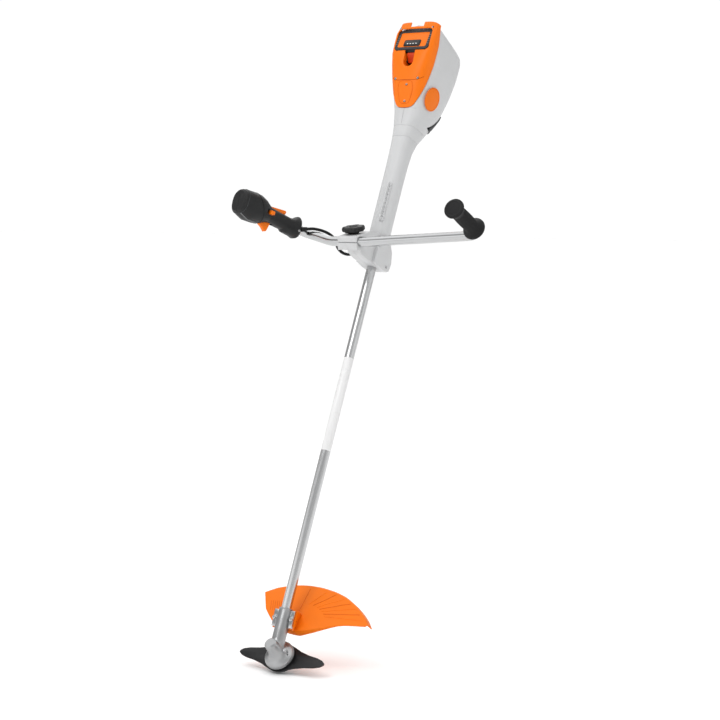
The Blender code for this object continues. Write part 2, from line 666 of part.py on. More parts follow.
def guard_bracket():
    """A steel strap behind the gear head's socket, and a block under it that holds the guard."""
    radius = SOCKET_RADIUS + GAP
    saddle = radius + STRAP_WALL
    strap = box("guard_strap", (-BRACKET_HALF, -EAR_HALF, BRACKET_LOW + 2 * MM),
                (BRACKET_HALF, EAR_HALF, BRACKET_HIGH - 2 * MM), MACHINE, "steel")
    back = box("strap_back_lump", (-saddle, -EAR_HALF, BRACKET_LOW + 2 * MM),
               (saddle, saddle, BRACKET_HIGH - 2 * MM), MACHINE, None)
    bore = cylinder("guard_strap_bore", radius, (0, 0, BRACKET_LOW - 5 * MM),
                    (0, 0, BRACKET_HIGH + 5 * MM), MACHINE, None, 28)
    cut(join(strap, back), bore)
    block = box("guard_bracket", (-BLOCK_HALF, EAR_HALF + GAP, BRACKET_LOW),
                (BLOCK_HALF, 50 * MM, BRACKET_HIGH), MACHINE, "black_plastic")
    wings = box("bracket_wings_lump", (-BRACKET_HALF, EAR_HALF + GAP, BRACKET_LOW),
                (BRACKET_HALF, 11 * MM, BRACKET_HIGH), MACHINE, None)
    join(block, wings)
    room = box("strap_room", (-saddle - GAP, -20 * MM, BRACKET_LOW - 5 * MM),
               (saddle + GAP, saddle + GAP, BRACKET_HIGH + 5 * MM), MACHINE, None)
    roof = box("guard_room", (-60 * MM, 0, -90 * MM), (60 * MM, 150 * MM, GUARD_TOP + GAP), SPINDLE,
               None)
    cut(block, room, roof)
    height = (BRACKET_LOW + BRACKET_HIGH) / 2
    for side, name in ((1, "left"), (-1, "right")):
        x = side * GUARD_SCREW_X
        hole = cylinder("guard_screw_hole_" + name, 2.5 * MM + GAP, (x, -20 * MM, height),
                        (x, 18 * MM, height), MACHINE, None, 20)
        cut(strap, hole)
        cut(block, hole)
        screw = cylinder("guard_screw_" + name, 2.5 * MM, (x, -EAR_HALF + 1 * MM, height),
                         (x, 17 * MM, height), MACHINE, "steel", 20)
        head = cylinder("guard_screw_head_" + name, 4.6 * MM, (x, -EAR_HALF - 5 * MM, height),
                        (x, -EAR_HALF - GAP, height), MACHINE, None, 20)
        neck = cylinder("guard_screw_neck_" + name, 2.5 * MM, (x, -EAR_HALF - 2 * MM, height),
                        (x, -EAR_HALF + 2 * MM, height), MACHINE, None, 20)
        key = cylinder("guard_screw_key_" + name, 2.2 * MM, (x, -EAR_HALF - 8 * MM, height),
                       (x, -EAR_HALF - 2.5 * MM, height), MACHINE, None, 6)
        join(screw, neck, head)
        cut(screw, key)


# ---- motor housing -------------------------------------------------------------------
# height, half width, front depth, rear depth, centre, power of the rear and front curves
BODY = [(NECK_BOTTOM, 26.5 * MM, 27 * MM, 26 * MM, 0, 2.5, 2.7),
        (1300 * MM, 26.5 * MM, 27 * MM, 26 * MM, 0, 2.5, 2.7),
        (1370 * MM, 27.5 * MM, 27.5 * MM, 29 * MM, 0, 2.5, 2.7),
        (1409 * MM, 30 * MM, 28.5 * MM, 43 * MM, 3 * MM, 2.6, 2.8),
        (1440 * MM, 34.5 * MM, 30 * MM, 62 * MM, 7 * MM, 2.8, 2.8),
        (1488 * MM, 45 * MM, 34 * MM, 88 * MM, 10 * MM, 3.0, 2.8),
        (1510 * MM, 50.5 * MM, 41 * MM, 96 * MM, 12 * MM, 3.2, 2.9),
        (1550 * MM, 58.5 * MM, 54 * MM, 103 * MM, 14 * MM, 3.4, 3.1),
        (1580 * MM, 63 * MM, 63 * MM, 106 * MM, 14 * MM, 3.6, 3.5),
        (1620 * MM, 66 * MM, 69 * MM, 108 * MM, 14 * MM, 4.0, 5.0),
        (1650 * MM, 66.5 * MM, 71 * MM, 108 * MM, 14 * MM, 4.4, 7.5),
        (1700 * MM, 66.5 * MM, 69.5 * MM, 107 * MM, 14 * MM, 4.6, 7.5),
        (1726 * MM, 62.5 * MM, 65 * MM, 103 * MM, 14 * MM, 4.4, 6.0)]
BODY_TOP = BODY[-1][0]
# height, angle of the cap's edge from the front
CAP_EDGE = [(CAP_BOTTOM, 0), (1489.5 * MM, 11), (1492 * MM, 19), (1498 * MM, 27), (1512 * MM, 36),
            (1530 * MM, 46), (1555 * MM, 55), (1582 * MM, 62), (1610 * MM, 70), (1640 * MM, 77),
            (1671 * MM, 79), (1700 * MM, 73), (BODY_TOP, 66)]
SHELL_HEIGHTS = [1455, 1472, 1486, 1488, 1489.5, 1492, 1498, 1512, 1530, 1555, 1582, 1610, 1640,
                 1671, 1700, 1716]


def slope_at(height):
    """How far a section falls from front to back: level at the motor, tilted at the top."""
    share = min(1, max(0, (height - 1600 * MM) / (BODY_TOP - 1600 * MM)))
    return math.tan(BATTERY_TILT) * share


def body_point(height, angle, inset=0.0):
    half_width, front, back, centre, power, front_power = lerp(BODY, height)
    x, y = superellipse(angle, half_width - inset, front - inset, back - inset, centre, power,
                        front_power)
    return Vector((x, y, height - slope_at(height) * (y + front)))


def body_ring(height, inset, count=32):
    return [body_point(height, 2 * math.pi * i / count, inset) for i in range(count)]


def half_shell(name, side, heights, parent, finish, wall, edge=None, domed=False):
    """One half of the casing, from its front edge round to the seam at the back."""
    columns = 15
    seam = GAP / 2
    rows = []
    for height in heights:
        start = math.radians(edge(height)) if edge else 0
        row = []
        for i in range(columns):
            angle = start + (math.pi - start) * i / (columns - 1)
            point = body_point(height, angle)
            point.x = side * max(point.x, seam)
            row.append(point)
        rows.append(row)
    if domed:
        top = rows[-1]
        middle = Vector((side * seam, 0, 0))
        middle.y = 4 * MM - lerp(BODY, BODY_TOP)[1]
        for shrink, rise in ((0.97, 4 * MM), (0.9, 7 * MM), (0.5, 8 * MM), (0, 8 * MM)):
            row = []
            for point in top:
                inner = Vector((side * max(abs(point.x) * shrink, seam),
                                middle.y + (point.y - middle.y) * shrink, 0))
                inner.z = BODY_TOP - slope_at(BODY_TOP) * (inner.y + lerp(BODY, BODY_TOP)[1])
                inner.z += rise - 10 * MM
                row.append(inner)
            rows.append(row)
    shell = sheet(name, rows, parent, finish, flip=side < 0)
    solidify(shell, wall)
    low, high = sorted((-side * 100 * MM, side * seam))
    other = box(name + "_other_side", (low, -200 * MM, NECK_BOTTOM), (high, 200 * MM, BODY_TOP + 1),
                parent, None)
    return cut(shell, other)


def cap_edge_angle(height):
    return lerp(CAP_EDGE, height)[0]


def casing():
    low = COLLAR_TOP + GAP
    heights = [low] + [z * MM for z in SHELL_HEIGHTS]
    shells = {}
    for side, name in ((1, "left"), (-1, "right")):
        shells[side] = half_shell("housing_%s_shell" % name, side, heights, MACHINE,
                                  "light_grey_plastic", SHELL_WALL, edge=shell_edge, domed=True)
    neck_heights = [NECK_BOTTOM] + [z * MM for z in (1180, 1300, 1345, 1380)] + [NECK_TOP]
    neck = loft("neck_tube", [body_ring(z, 0) for z in neck_heights], MACHINE,
                "light_grey_plastic", capped=False)
    solidify(neck, NECK_WALL)
    collar_rows = [body_ring(z, 0) for z in (NECK_TOP + GAP, (NECK_TOP + COLLAR_TOP) / 2, COLLAR_TOP)]
    collar = loft("neck_collar", collar_rows, MACHINE, "light_grey_plastic", capped=False)
    solidify(collar, SHELL_WALL)
    for side, shell in shells.items():
        cut(shell, vent_room("vent_opening_%d" % side, GAP))
    return shells


def shell_edge(height):
    return cap_edge_angle(height) + (0.8 if height > CAP_BOTTOM + 1e-6 else 0)


# ---- front cap -----------------------------------------------------------------------
def front_cap():
    heights = [z * MM for z in (1489, 1492, 1498, 1512, 1530, 1548, 1552, 1556, 1582, 1610, 1640,
                                1671, 1700, 1722, 1730)]
    columns = 17
    rows = []
    for height in heights:
        span = math.radians(cap_edge_angle(height)) - math.radians(0.5)
        row = []
        for i in range(columns):
            angle = span * (2 * i / (columns - 1) - 1)
            point = body_point(min(height, BODY_TOP), angle, -CAP_PROUD)
            point.z += max(0, height - BODY_TOP)
            row.append(point)
        rows.append(row)
    cap = sheet("battery_frame_cap", rows, MACHINE, "orange_plastic")
    solidify(cap, SHELL_WALL)
    half, tall = BATTERY_WIDTH / 2 + 1 * MM, BATTERY_HEIGHT / 2 + 1 * MM
    mouth = box("battery_mouth", (-half, -60 * MM, -tall), (half, 100 * MM, tall), BAY, None, 8 * MM)
    notch = box("top_notch", (-21 * MM, -120 * MM, 1716 * MM), (21 * MM, 40 * MM, 1760 * MM),
                MACHINE, None)
    thumb = plate("thumb_scoop", scoop_outline(16 * MM), -90 * MM, -30 * MM, MACHINE, None)
    thumb.data.transform(Matrix.Rotation(math.pi / 2, 4, "X"))
    thumb.data.transform(Matrix.Scale(-1, 4, (0, 1, 0)))
    thumb.data.flip_normals()
    cut(cap, mouth, notch, thumb)
    for name, (x, height) in CAP_SCREWS.items():
        cap_screw(cap, name, x, height)


def scoop_outline(half_width):
    """A U that is open at its top, in (x, height)."""
    low, high = 1612 * MM, 1660 * MM
    arc = [(half_width * math.cos(math.radians(a)), low + half_width * math.sin(math.radians(a)))
           for a in range(180, 361, 20)]
    return [(half_width, high), (-half_width, high)] + arc


CAP_SCREWS = {"right": (-35 * MM, 1566 * MM), "left": (35 * MM, 1566 * MM)}


def surface_depth(x, height, inset):
    """How far in front of the tube's axis the body's surface lies at x."""
    half_width, front, back, centre, rear_power, power = lerp(BODY, height)
    share = min(1, abs(x) / (half_width - inset))
    return (front - inset + centre) * (1 - share ** power) ** (1 / power) - centre


def cap_screw(cap, name, x, height):
    """A countersunk screw that holds the cap on its post."""
    depth = surface_depth(x, height, -CAP_PROUD)
    hole = cylinder("cap_screw_hole_" + name, 3.4 * MM, (x, -depth - 6 * MM, height),
                    (x, -depth + 12 * MM, height), MACHINE, None, 20)
    cut(cap, hole)
    screw = cylinder("cap_screw_" + name, 3.1 * MM, (x, -depth + 0.6 * MM, height),
                     (x, -depth + 9 * MM, height), MACHINE, "steel", 20)
    key = cylinder("cap_screw_key_" + name, 1.6 * MM, (x, -depth - 2 * MM, height),
                   (x, -depth + 2.6 * MM, height), MACHINE, None, 6)
    cut(screw, key)


# ---- battery and its bay -------------------------------------------------------------
TRAY_FRONT = 14 * MM                 # behind the battery's face
TRAY_HALF = BATTERY_WIDTH / 2 + 0.8 * MM + TRAY_WALL
TRAY_TALL = BATTERY_HEIGHT / 2 + 0.8 * MM + TRAY_WALL
LEVER_PIVOT = Vector((0, 28 * MM, -TRAY_TALL - 17 * MM))
LEVER_HALF = 11 * MM
LEVER_PIN = 1.5 * MM


def lever_lug(tray, side):
    """An ear under the tray that holds one end of the release lever's pin."""
    low, high = sorted((side * (LEVER_HALF + 0.5 * MM), side * (LEVER_HALF + 3.5 * MM)))
    y, z = LEVER_PIVOT.y, LEVER_PIVOT.z
    lug = box("lever_lug_%d" % side, (low, y - 6 * MM, z - 5 * MM), (high, y + 6 * MM, -TRAY_TALL + 1 * MM),
              BAY, None)
    hole = cylinder("lever_lug_hole_%d" % side, LEVER_PIN + GAP / 2, (low * 1.2, y, z),
                    (high * 1.2, y, z), BAY, None, 20)
    hole.data.transform(Matrix.Translation((-(low + high) * 0.1, 0, 0)))
    cut(join(tray, lug), hole)


def tray_floor(y):
    """Height of the tray's underside at a depth y behind the tube's axis."""
    back = y - BATTERY_FACE.y
    return BATTERY_FACE.z - TRAY_TALL / math.cos(BATTERY_TILT) - back * math.tan(BATTERY_TILT)


def battery_bay():
    half, tall = BATTERY_WIDTH / 2 + 0.8 * MM, BATTERY_HEIGHT / 2 + 0.8 * MM
    depth = BATTERY_LENGTH + 11 * MM
    tray = box("battery_tray", (-TRAY_HALF, TRAY_FRONT, -TRAY_TALL),
               (TRAY_HALF, depth + TRAY_WALL, TRAY_TALL), BAY, "black_plastic")
    hollow = box("tray_hollow", (-half, -5 * MM, -tall), (half, depth, tall), BAY, None)
    room_rows = [body_ring(z * MM, SHELL_WALL + 0.5 * MM) for z in (1560, 1580, 1620, 1650, 1700)]
    flange = loft("tray_flange_lump", room_rows, MACHINE, None)
    slab = box("tray_flange_slab", (-100 * MM, 40 * MM, -TRAY_TALL + 6 * MM),
               (100 * MM, 44 * MM, TRAY_TALL - 14 * MM), BAY, None)
    boolean(flange, slab, "INTERSECT")
    cut(join(tray, flange), hollow)
    lever_lug(tray, 1)
    lever_lug(tray, -1)
    block = box("terminal_block", (-24 * MM, BATTERY_LENGTH + 1 * MM, -9 * MM),
                (24 * MM, depth - GAP, 9 * MM), BAY, "dark_grey_plastic", 1 * MM)
    for i in range(4):
        x = (-15 + 10 * i) * MM
        blade = box("terminal_slit_%d" % i, (x - 0.8 * MM, BATTERY_LENGTH, -6 * MM),
                    (x + 0.8 * MM, BATTERY_LENGTH + 8 * MM, 6 * MM), BAY, None)
        cut(block, blade)


FACE_RIM = 8 * MM


def face_plate(name, half_width, half_height, radius, low, high, finish):
    """A plate across the battery's face with its four corners rounded."""
    piece = cylinder(name, radius, (0, low, 0), (0, high, 0), BAY, finish, 16)
    for vertex in piece.data.vertices:
        vertex.co.x += math.copysign(half_width - radius, vertex.co.x)
        vertex.co.z += math.copysign(half_height - radius, vertex.co.z)
    return piece


def battery():
    half, tall = BATTERY_WIDTH / 2, BATTERY_HEIGHT / 2
    case = box("battery_case", (-half, 3 * MM, -tall), (half, BATTERY_LENGTH, tall), BAY,
               "dark_grey_plastic", 7.5 * MM)
    rim = face_plate("battery_face_frame", half, tall, 12 * MM, -1 * MM, 3 * MM - GAP,
                     "dark_grey_plastic")
    window = face_plate("battery_face_window", half - FACE_RIM, tall - FACE_RIM, 5 * MM, -3 * MM,
                        0.8 * MM, None)
    cut(rim, window)
    face_plate("battery_face_plate", half - FACE_RIM - GAP, tall - FACE_RIM - GAP, 5 * MM - GAP,
               -0.6 * MM, 0.8 * MM - GAP, "orange_plastic")
    return case


def release_lever():
    """The thumb lever in the scoop under the battery; its pivot lies across the machine."""
    pivot = frame("release_lever_pivot", BAY, Matrix.Translation(LEVER_PIVOT))
    outline = [(-20, 15), (-16, 15.5), (3, 4), (4, 0), (2.5, -3.5), (-2, -4), (-8, 3), (-19, 9)]
    lever = plate("battery_release_lever", scaled(outline), -LEVER_HALF, LEVER_HALF, pivot,
                  "red_plastic", axis="X")
    eye = cylinder("release_lever_eye", LEVER_PIN + RUNNING / 2, (-20 * MM, 0, 0), (20 * MM, 0, 0),
                   pivot, None, 20)
    cut(lever, eye)
    reach = LEVER_HALF + 4 * MM
    cylinder("release_lever_pin", LEVER_PIN, LEVER_PIVOT - Vector((reach, 0, 0)),
             LEVER_PIVOT + Vector((reach, 0, 0)), BAY, "steel", 20)
    return lever


# ---- motor and electronics -----------------------------------------------------------
ROTOR_RADIUS = 15 * MM
COUPLING_LENGTH = 34 * MM


def motor():
    low, high = MOTOR_BOTTOM, MOTOR_BOTTOM + MOTOR_LENGTH
    inset = SHELL_WALL + 1 * MM
    mount_rows = [body_ring(z, inset) for z in (low - 8 * MM, low - GAP)]
    mount = loft("motor_mount_plate", mount_rows, MACHINE, "cast_aluminium")
    eye = cylinder("motor_mount_bore", 11 * MM + GAP, (0, 0, low - 20 * MM), (0, 0, low + 5 * MM),
                   MACHINE, None, 32)
    cut(mount, eye)
    bearing("motor_bearing", DRIVE_RADIUS, 11 * MM, low - 8 * MM, low - GAP, MACHINE)
    ring("motor_stator", ROTOR_RADIUS + 0.6 * MM, MOTOR_RADIUS, low, high, MACHINE, "copper", 36)
    rotor = turned("motor_rotor",
                   [(0, high + 20 * MM), (DRIVE_RADIUS, high + 20 * MM), (DRIVE_RADIUS, high - 2 * MM),
                    (ROTOR_RADIUS, high - 2 * MM), (ROTOR_RADIUS, low + 2 * MM),
                    (DRIVE_RADIUS, low + 2 * MM), (DRIVE_RADIUS, low - 9 * MM),
                    (8 * MM, low - 9 * MM), (8 * MM, low - COUPLING_LENGTH),
                    (0, low - COUPLING_LENGTH)], MACHINE, "steel", 36)
    socket = cylinder("coupling_socket", DRIVE_RADIUS + GAP / 2, (0, 0, low - 60 * MM),
                      (0, 0, low - 12 * MM), MACHINE, None, 24)
    cut(rotor, socket)
    fan = turned("cooling_fan", [(20 * MM, high + 10 * MM), (20 * MM, high + 8 * MM),
                                 (DRIVE_RADIUS + GAP / 2, high + 8 * MM),
                                 (DRIVE_RADIUS + GAP / 2, high + 16 * MM), (7 * MM, high + 16 * MM),
                                 (7 * MM, high + 10 * MM)], MACHINE, "black_plastic", 32, ring=True)
    for i in range(8):
        turn = Matrix.Rotation(2 * math.pi * i / 8, 4, "Z")
        vane = box("fan_vane_%d" % i, (5.5 * MM, -0.8 * MM, high + 9 * MM),
                   (26 * MM, 0.8 * MM, high + 16 * MM), MACHINE, None)
        vane.data.transform(Matrix.Translation((0, 0, 0)) @ turn)
        join(fan, vane)
    return rotor


def electronics():
    board = box("control_board", (-38 * MM, 60 * MM, 1562 * MM),
                (38 * MM, 61.6 * MM, tray_floor(61.6 * MM) - GAP), MACHINE, "board_green")
    for i in range(3):
        x = (-22 + 22 * i) * MM
        chip = box("board_chip_%d" % i, (x - 7 * MM, 61 * MM, 1570 * MM),
                   (x + 7 * MM, 68 * MM, 1592 * MM), MACHINE, None)
        join(board, chip)
    return board


# ---- outside details of the housing --------------------------------------------------
def vent_room(name, clearance):
    """The block of space that the vent takes up in the rear of the casing."""
    return box(name, (-VENT_HALF - clearance, 40 * MM, VENT_BOTTOM - clearance),
               (VENT_HALF + clearance, 140 * MM, VENT_TOP + clearance), MACHINE, None)


def vent_grille():
    """Dark grille let into an opening in the rear of the casing, below the motor."""
    rows = []
    for height in (VENT_BOTTOM - 3 * MM, 1472 * MM, 1488 * MM, 1510 * MM, VENT_TOP + 3 * MM):
        row = []
        for angle in range(120, 241, 12):
            row.append(body_point(height, math.radians(angle), -VENT_PROUD))
        rows.append(row)
    grille = sheet("vent_grille", rows, MACHINE, "dark_grey_plastic")
    solidify(grille, VENT_PROUD + 2 * MM)
    boolean(grille, vent_room("vent_outline", 0), "INTERSECT")
    pitch = (VENT_TOP - VENT_BOTTOM) / VENT_SLITS
    for i in range(VENT_SLITS):
        z = VENT_BOTTOM + (i + 0.25) * pitch
        slit = box("vent_slit_%d" % i, (-VENT_HALF + 6 * MM, 40 * MM, z),
                   (VENT_HALF - 6 * MM, 140 * MM, z + pitch / 2), MACHINE, None)
        cut(grille, slit)
    return grille


def badge():
    """A plain round disc on the left side of the housing."""
    height, depth = 1531 * MM, -4 * MM
    x = lerp(BODY, height)[0]
    out = (body_point(height + 10 * MM, math.radians(95)) - body_point(height - 10 * MM, math.radians(95)))
    normal = Vector((out.z, 0, -out.x)).normalized()
    centre = Vector((x, -depth, height)) + normal * 0.6 * MM
    return cylinder("badge_disc", 32 * MM, centre, centre + normal * 1.4 * MM, MACHINE,
                    "orange_plastic", 32)


# ---- harness rail --------------------------------------------------------------------
def harness_rail():
    """A row of holes for the carrying hook, on the front left shoulder of the neck."""
    low, high = RAIL_BOTTOM, RAIL_BOTTOM + RAIL_LENGTH
    front = RAIL_FOOT + RAIL_DEPTH
    outline = [(-RAIL_FOOT, low), (-front + 5 * MM, low), (-front, low + 6 * MM),
               (-front, high - 6 * MM), (-front + 5 * MM, high), (-RAIL_FOOT, high)]
    rail = plate("harness_rail", outline, RAIL_OFFSET, RAIL_FACE_X, MACHINE, "light_grey_plastic",
                 axis="X")
    foot = box("rail_foot_lump", (RAIL_OFFSET - 4 * MM, -RAIL_FOOT - 6 * MM, low),
               (RAIL_FACE_X + 4 * MM, -RAIL_FOOT + 8 * MM, high), MACHINE, None)
    join(rail, foot)
    neck = loft("neck_space", [body_ring(z, -GAP) for z in (low - 20 * MM, high + 20 * MM)], MACHINE,
                None)
    cut(rail, neck)
    first = (low + high) / 2 - RAIL_PITCH * (RAIL_HOLES - 1) / 2
    for i in range(RAIL_HOLES):
        z = first + i * RAIL_PITCH
        y = -(RAIL_FOOT + RAIL_DEPTH / 2)
        hole = cylinder("rail_hole_%d" % i, RAIL_HOLE_RADIUS, (0, y, z), (40 * MM, y, z), MACHINE,
                        None, 12)
        cut(rail, hole)
    return rail


# ---- handlebar bracket and clamp -----------------------------------------------------
def neck_core(name):
    """The neck and the tube with their clearance, as one cutter."""
    upper = loft(name, [body_ring(z, -GAP) for z in (NECK_BOTTOM - GAP, 1200 * MM)], MACHINE, None)
    lower = cylinder(name + "_tube", TUBE_RADIUS + GAP, (0, 0, 1000 * MM), (0, 0, NECK_BOTTOM + 5 * MM),
                     MACHINE, None, 28)
    return upper, lower


def bracket():
    cheek = [(40, 1052), (38, 1042), (30, 1037), (-6, 1037), (-34, 1040), (-34, 1112), (-10, 1124),
             (14, 1116), (34, 1092), (42, 1066)]
    arm = [(-10, 1037), (-60, 1037), (-88, 1040), (-98, 1048), (-98, 1090), (-74, 1110), (-40, 1122),
           (-10, 1122)]
    cores = neck_core("neck_core")
    bar = bar_space()
    for side, name in ((1, "left"), (-1, "right")):
        low, high = sorted((side * GAP / 2, side * BRACKET_HALF_WIDTH))
        half = plate("handlebar_bracket_" + name, scaled(cheek), low, high, MACHINE,
                     "light_grey_plastic", axis="X")
        low, high = sorted((side * GAP / 2, side * ARM_HALF_WIDTH))
        arm_lump = plate("arm_lump_" + name, scaled(arm), low, high, MACHINE, None, axis="X")
        low, high = sorted((side * GAP / 2, side * CLAMP_HALF_WIDTH))
        saddle = box("saddle_lump_" + name, (low, -17 * MM, -19 * MM), (high, 33 * MM, -0.4 * MM),
                     CLAMP, None)
        keep_below = box("jaw_space_" + name, (-60 * MM, -40 * MM, -0.4 * MM),
                         (60 * MM, 34 * MM, 70 * MM), CLAMP, None)
        join(half, arm_lump)
        cut(half, keep_below)
        join(half, saddle)
        cut(half, *cores)
        cut(half, bar, clamp_screw_space(), cable_room(name))
        for number, (y, z) in enumerate(BRACKET_SCREWS, 1):
            hole = cylinder("bracket_screw_hole_%s_%d" % (name, number), 2.5 * MM + GAP,
                            (-50 * MM, y, z), (50 * MM, y, z), MACHINE, None, 20)
            sink = cylinder("bracket_screw_sink_%s_%d" % (name, number), 4.5 * MM + GAP,
                            (side * 25 * MM, y, z), (side * 50 * MM, y, z), MACHINE, None, 20)
            cut(half, hole, sink)
    for number, (y, z) in enumerate(BRACKET_SCREWS, 1):
        bracket_screw(number, y, z)


BRACKET_SCREWS = ((-18 * MM - 12 * MM, 1088 * MM), (22 * MM, 1048 * MM))


def bracket_screw(number, y, z):
    """A long screw that draws the two bracket halves together."""
    screw = cylinder("bracket_screw_%d" % number, 2.5 * MM, (-25.5 * MM, y, z), (24 * MM, y, z),
                     MACHINE, "steel", 20)
    head = cylinder("bracket_screw_head_%d" % number, 4.5 * MM, (23 * MM + GAP + 2 * MM, y, z),
                    (28 * MM, y, z), MACHINE, None, 20)
    neck = cylinder("bracket_screw_neck_%d" % number, 2.5 * MM, (20 * MM, y, z), (27 * MM, y, z),
                    MACHINE, None, 20)
    key = cylinder("bracket_screw_key_%d" % number, 2.2 * MM, (26 * MM, y, z), (31 * MM, y, z),
                   MACHINE, None, 6)
    join(screw, neck, head)
    cut(screw, key)


def scaled(outline):
    return [(y * MM, z * MM) for y, z in outline]


def bar_space():
    return cylinder("bar_space", BAR_RADIUS + GAP, (-60 * MM, 0, 0), (60 * MM, 0, 0), CLAMP, None, 28)


def clamp_screw_space():
    y = CLAMP_SCREW_OFFSET
    return cylinder("clamp_screw_space", 3 * MM + GAP, (0, y, -16 * MM), (0, y, 40 * MM), CLAMP, None,
                    20)


def bar_clamp():
    jaw = box("clamp_jaw", (-CLAMP_HALF_WIDTH, -17 * MM, 0.4 * MM), (CLAMP_HALF_WIDTH, 33 * MM, 17 * MM),
              CLAMP, "light_grey_plastic", 2.5 * MM)
    cut(jaw, bar_space(), clamp_screw_space())
    y = CLAMP_SCREW_OFFSET
    low = 17 * MM + GAP
    lobes = 7
    outline = []
    for i in range(lobes * 8):
        angle = 2 * math.pi * i / (lobes * 8)
        radius = KNOB_RADIUS * (0.92 + 0.08 * math.cos(lobes * angle))
        outline.append((radius * math.cos(angle), radius * math.sin(angle)))
    rows = []
    for share, rise in ((0.45, 0), (0.5, 0.25), (0.93, 0.32), (1, 0.45), (1, 0.8), (0.9, 1)):
        rows.append([Vector((x * share, y + v * share, low + rise * KNOB_HEIGHT)) for x, v in outline])
    knob = loft("clamp_knob", rows, CLAMP, "black_plastic")
    stem = cylinder("clamp_screw", 3 * MM, (0, y, -15 * MM), (0, y, low + 8 * MM), CLAMP, "steel", 20)
    socket = cylinder("knob_socket", 3 * MM + GAP / 2, (0, y, low - 1 * MM), (0, y, low + 8 * MM + GAP),
                      CLAMP, None, 20)
    cut(knob, socket)
    return stem


# ---- handlebar -----------------------------------------------------------------------
LEFT_GRIP_BASE = Vector((388, -158, 1083)) * MM
LEFT_GRIP_AIM = Vector((0.07, -1, 0))
CONTROL_BASE = Vector((-160, -151, 1081)) * MM
CONTROL_AIM = Vector((-40, -209, -19))
UP_THE_TUBE = Vector((0, 0, 1))
LEFT_HAND = frame("left_grip_axis", MACHINE, axes_matrix(LEFT_GRIP_BASE, LEFT_GRIP_AIM, UP_THE_TUBE))
RIGHT_HAND = frame("control_handle_axis", MACHINE,
                   axes_matrix(CONTROL_BASE, CONTROL_AIM, UP_THE_TUBE))
BAR_IN_CONTROL = 80 * MM


def handlebar():
    left_aim, right_aim = LEFT_GRIP_AIM.normalized(), CONTROL_AIM.normalized()
    corners = [(LEFT_GRIP_BASE + left_aim * (GRIP_LENGTH - 6 * MM), 0),
               (LEFT_GRIP_BASE - left_aim * 38 * MM, 38 * MM),
               (Vector((50 * MM, -BAR_FRONT, BAR_HEIGHT)), 300 * MM),
               (Vector((-60 * MM, -BAR_FRONT, BAR_HEIGHT)), 80 * MM),
               (CONTROL_BASE - right_aim * 30 * MM, 30 * MM),
               (CONTROL_BASE + right_aim * BAR_IN_CONTROL, 0)]
    tube = rod("handlebar_tube", rounded_path(corners, 5), BAR_RADIUS, MACHINE, "silver_tube", 4,
               capped=False)
    solidify(tube, BAR_WALL)
    return tube


def left_grip():
    bore = BAR_RADIUS + GAP
    end = GRIP_LENGTH
    profile = [(0, end + 6 * MM), (10 * MM, end + 5.5 * MM), (20 * MM, end + 2.5 * MM),
               (25 * MM, end - 2 * MM), (25 * MM, end - 5 * MM), (22 * MM, end - 9 * MM),
               (GRIP_RADIUS + 1.5 * MM, end - 14 * MM)]
    profile += [(GRIP_RADIUS + 1 * MM, end - 18 * MM), (GRIP_RADIUS + 0.5 * MM, end / 2)]
    profile += [(GRIP_RADIUS + 2 * MM, 17 * MM), (24 * MM, 11 * MM), (28.5 * MM, 5 * MM),
                (29 * MM, 2 * MM), (28 * MM, 0), (bore, 0), (bore, end - 5 * MM),
                (0, end - 5 * MM)]
    return turned("left_grip", profile, LEFT_HAND, "black_rubber", 24)


# height along the handle, half width, lower depth, upper depth (from the handle's axis)
HANDLE = [(0, 21, 27, 29), (5, 24, 29, 31), (10, 22, 28, 28), (20, 18, 27, 21), (34, 17, 26.5, 19),
          (48, 17, 25.5, 20), (54, 17, 20, 20.5), (80, 17, 19.5, 22), (104, 18, 20, 24),
          (116, 22, 22, 29), (132, 28, 29, 37), (150, 31, 34, 42.5), (180, 31.5, 36, 42),
          (197, 30, 30, 40.5), (208, 28, 26, 38), (213, 23, 21, 33)]


def handle_ring(station, inset=0.0, count=24):
    height, half_width, lower, upper = station
    ring_points = []
    for i in range(count):
        angle = 2 * math.pi * (i + 0.5) / count
        x, y = superellipse(angle, half_width - inset, lower - inset, upper - inset, 0, 2.5)
        ring_points.append(Vector((x, y, height)) * MM)
    return ring_points


def control_handle():
    rings = [handle_ring(station) for station in HANDLE]
    bar = cylinder("control_bar_bore", BAR_RADIUS + GAP, (0, 0, -10 * MM), (0, 0, BAR_IN_CONTROL + GAP),
                   RIGHT_HAND, None, 28)
    trigger_pocket = box("trigger_pocket", (-6 * MM, -50 * MM, 88 * MM), (6 * MM, -4 * MM, 136 * MM),
                         RIGHT_HAND, None)
    lever_pocket = box("lockout_pocket", (-6.5 * MM, 13 * MM, 44 * MM), (6.5 * MM, 60 * MM, 120 * MM),
                       RIGHT_HAND, None)
    slider_pocket = box("slider_pocket", (19 * MM, -3 * MM, 106 * MM), (50 * MM, 9 * MM, 132 * MM),
                        RIGHT_HAND, None)
    for side, name in ((1, "left"), (-1, "right")):
        half = loft("control_handle_" + name, rings, RIGHT_HAND, "black_plastic")
        low, high = sorted((side * -80 * MM, side * GAP / 2))
        away = box("control_away_" + name, (low, -90 * MM, -20 * MM), (high, 90 * MM, 240 * MM),
                   RIGHT_HAND, None)
        cut(half, away, bar, trigger_pocket, lever_pocket, slider_pocket)
    screw_x = -8 * MM
    return screw_x


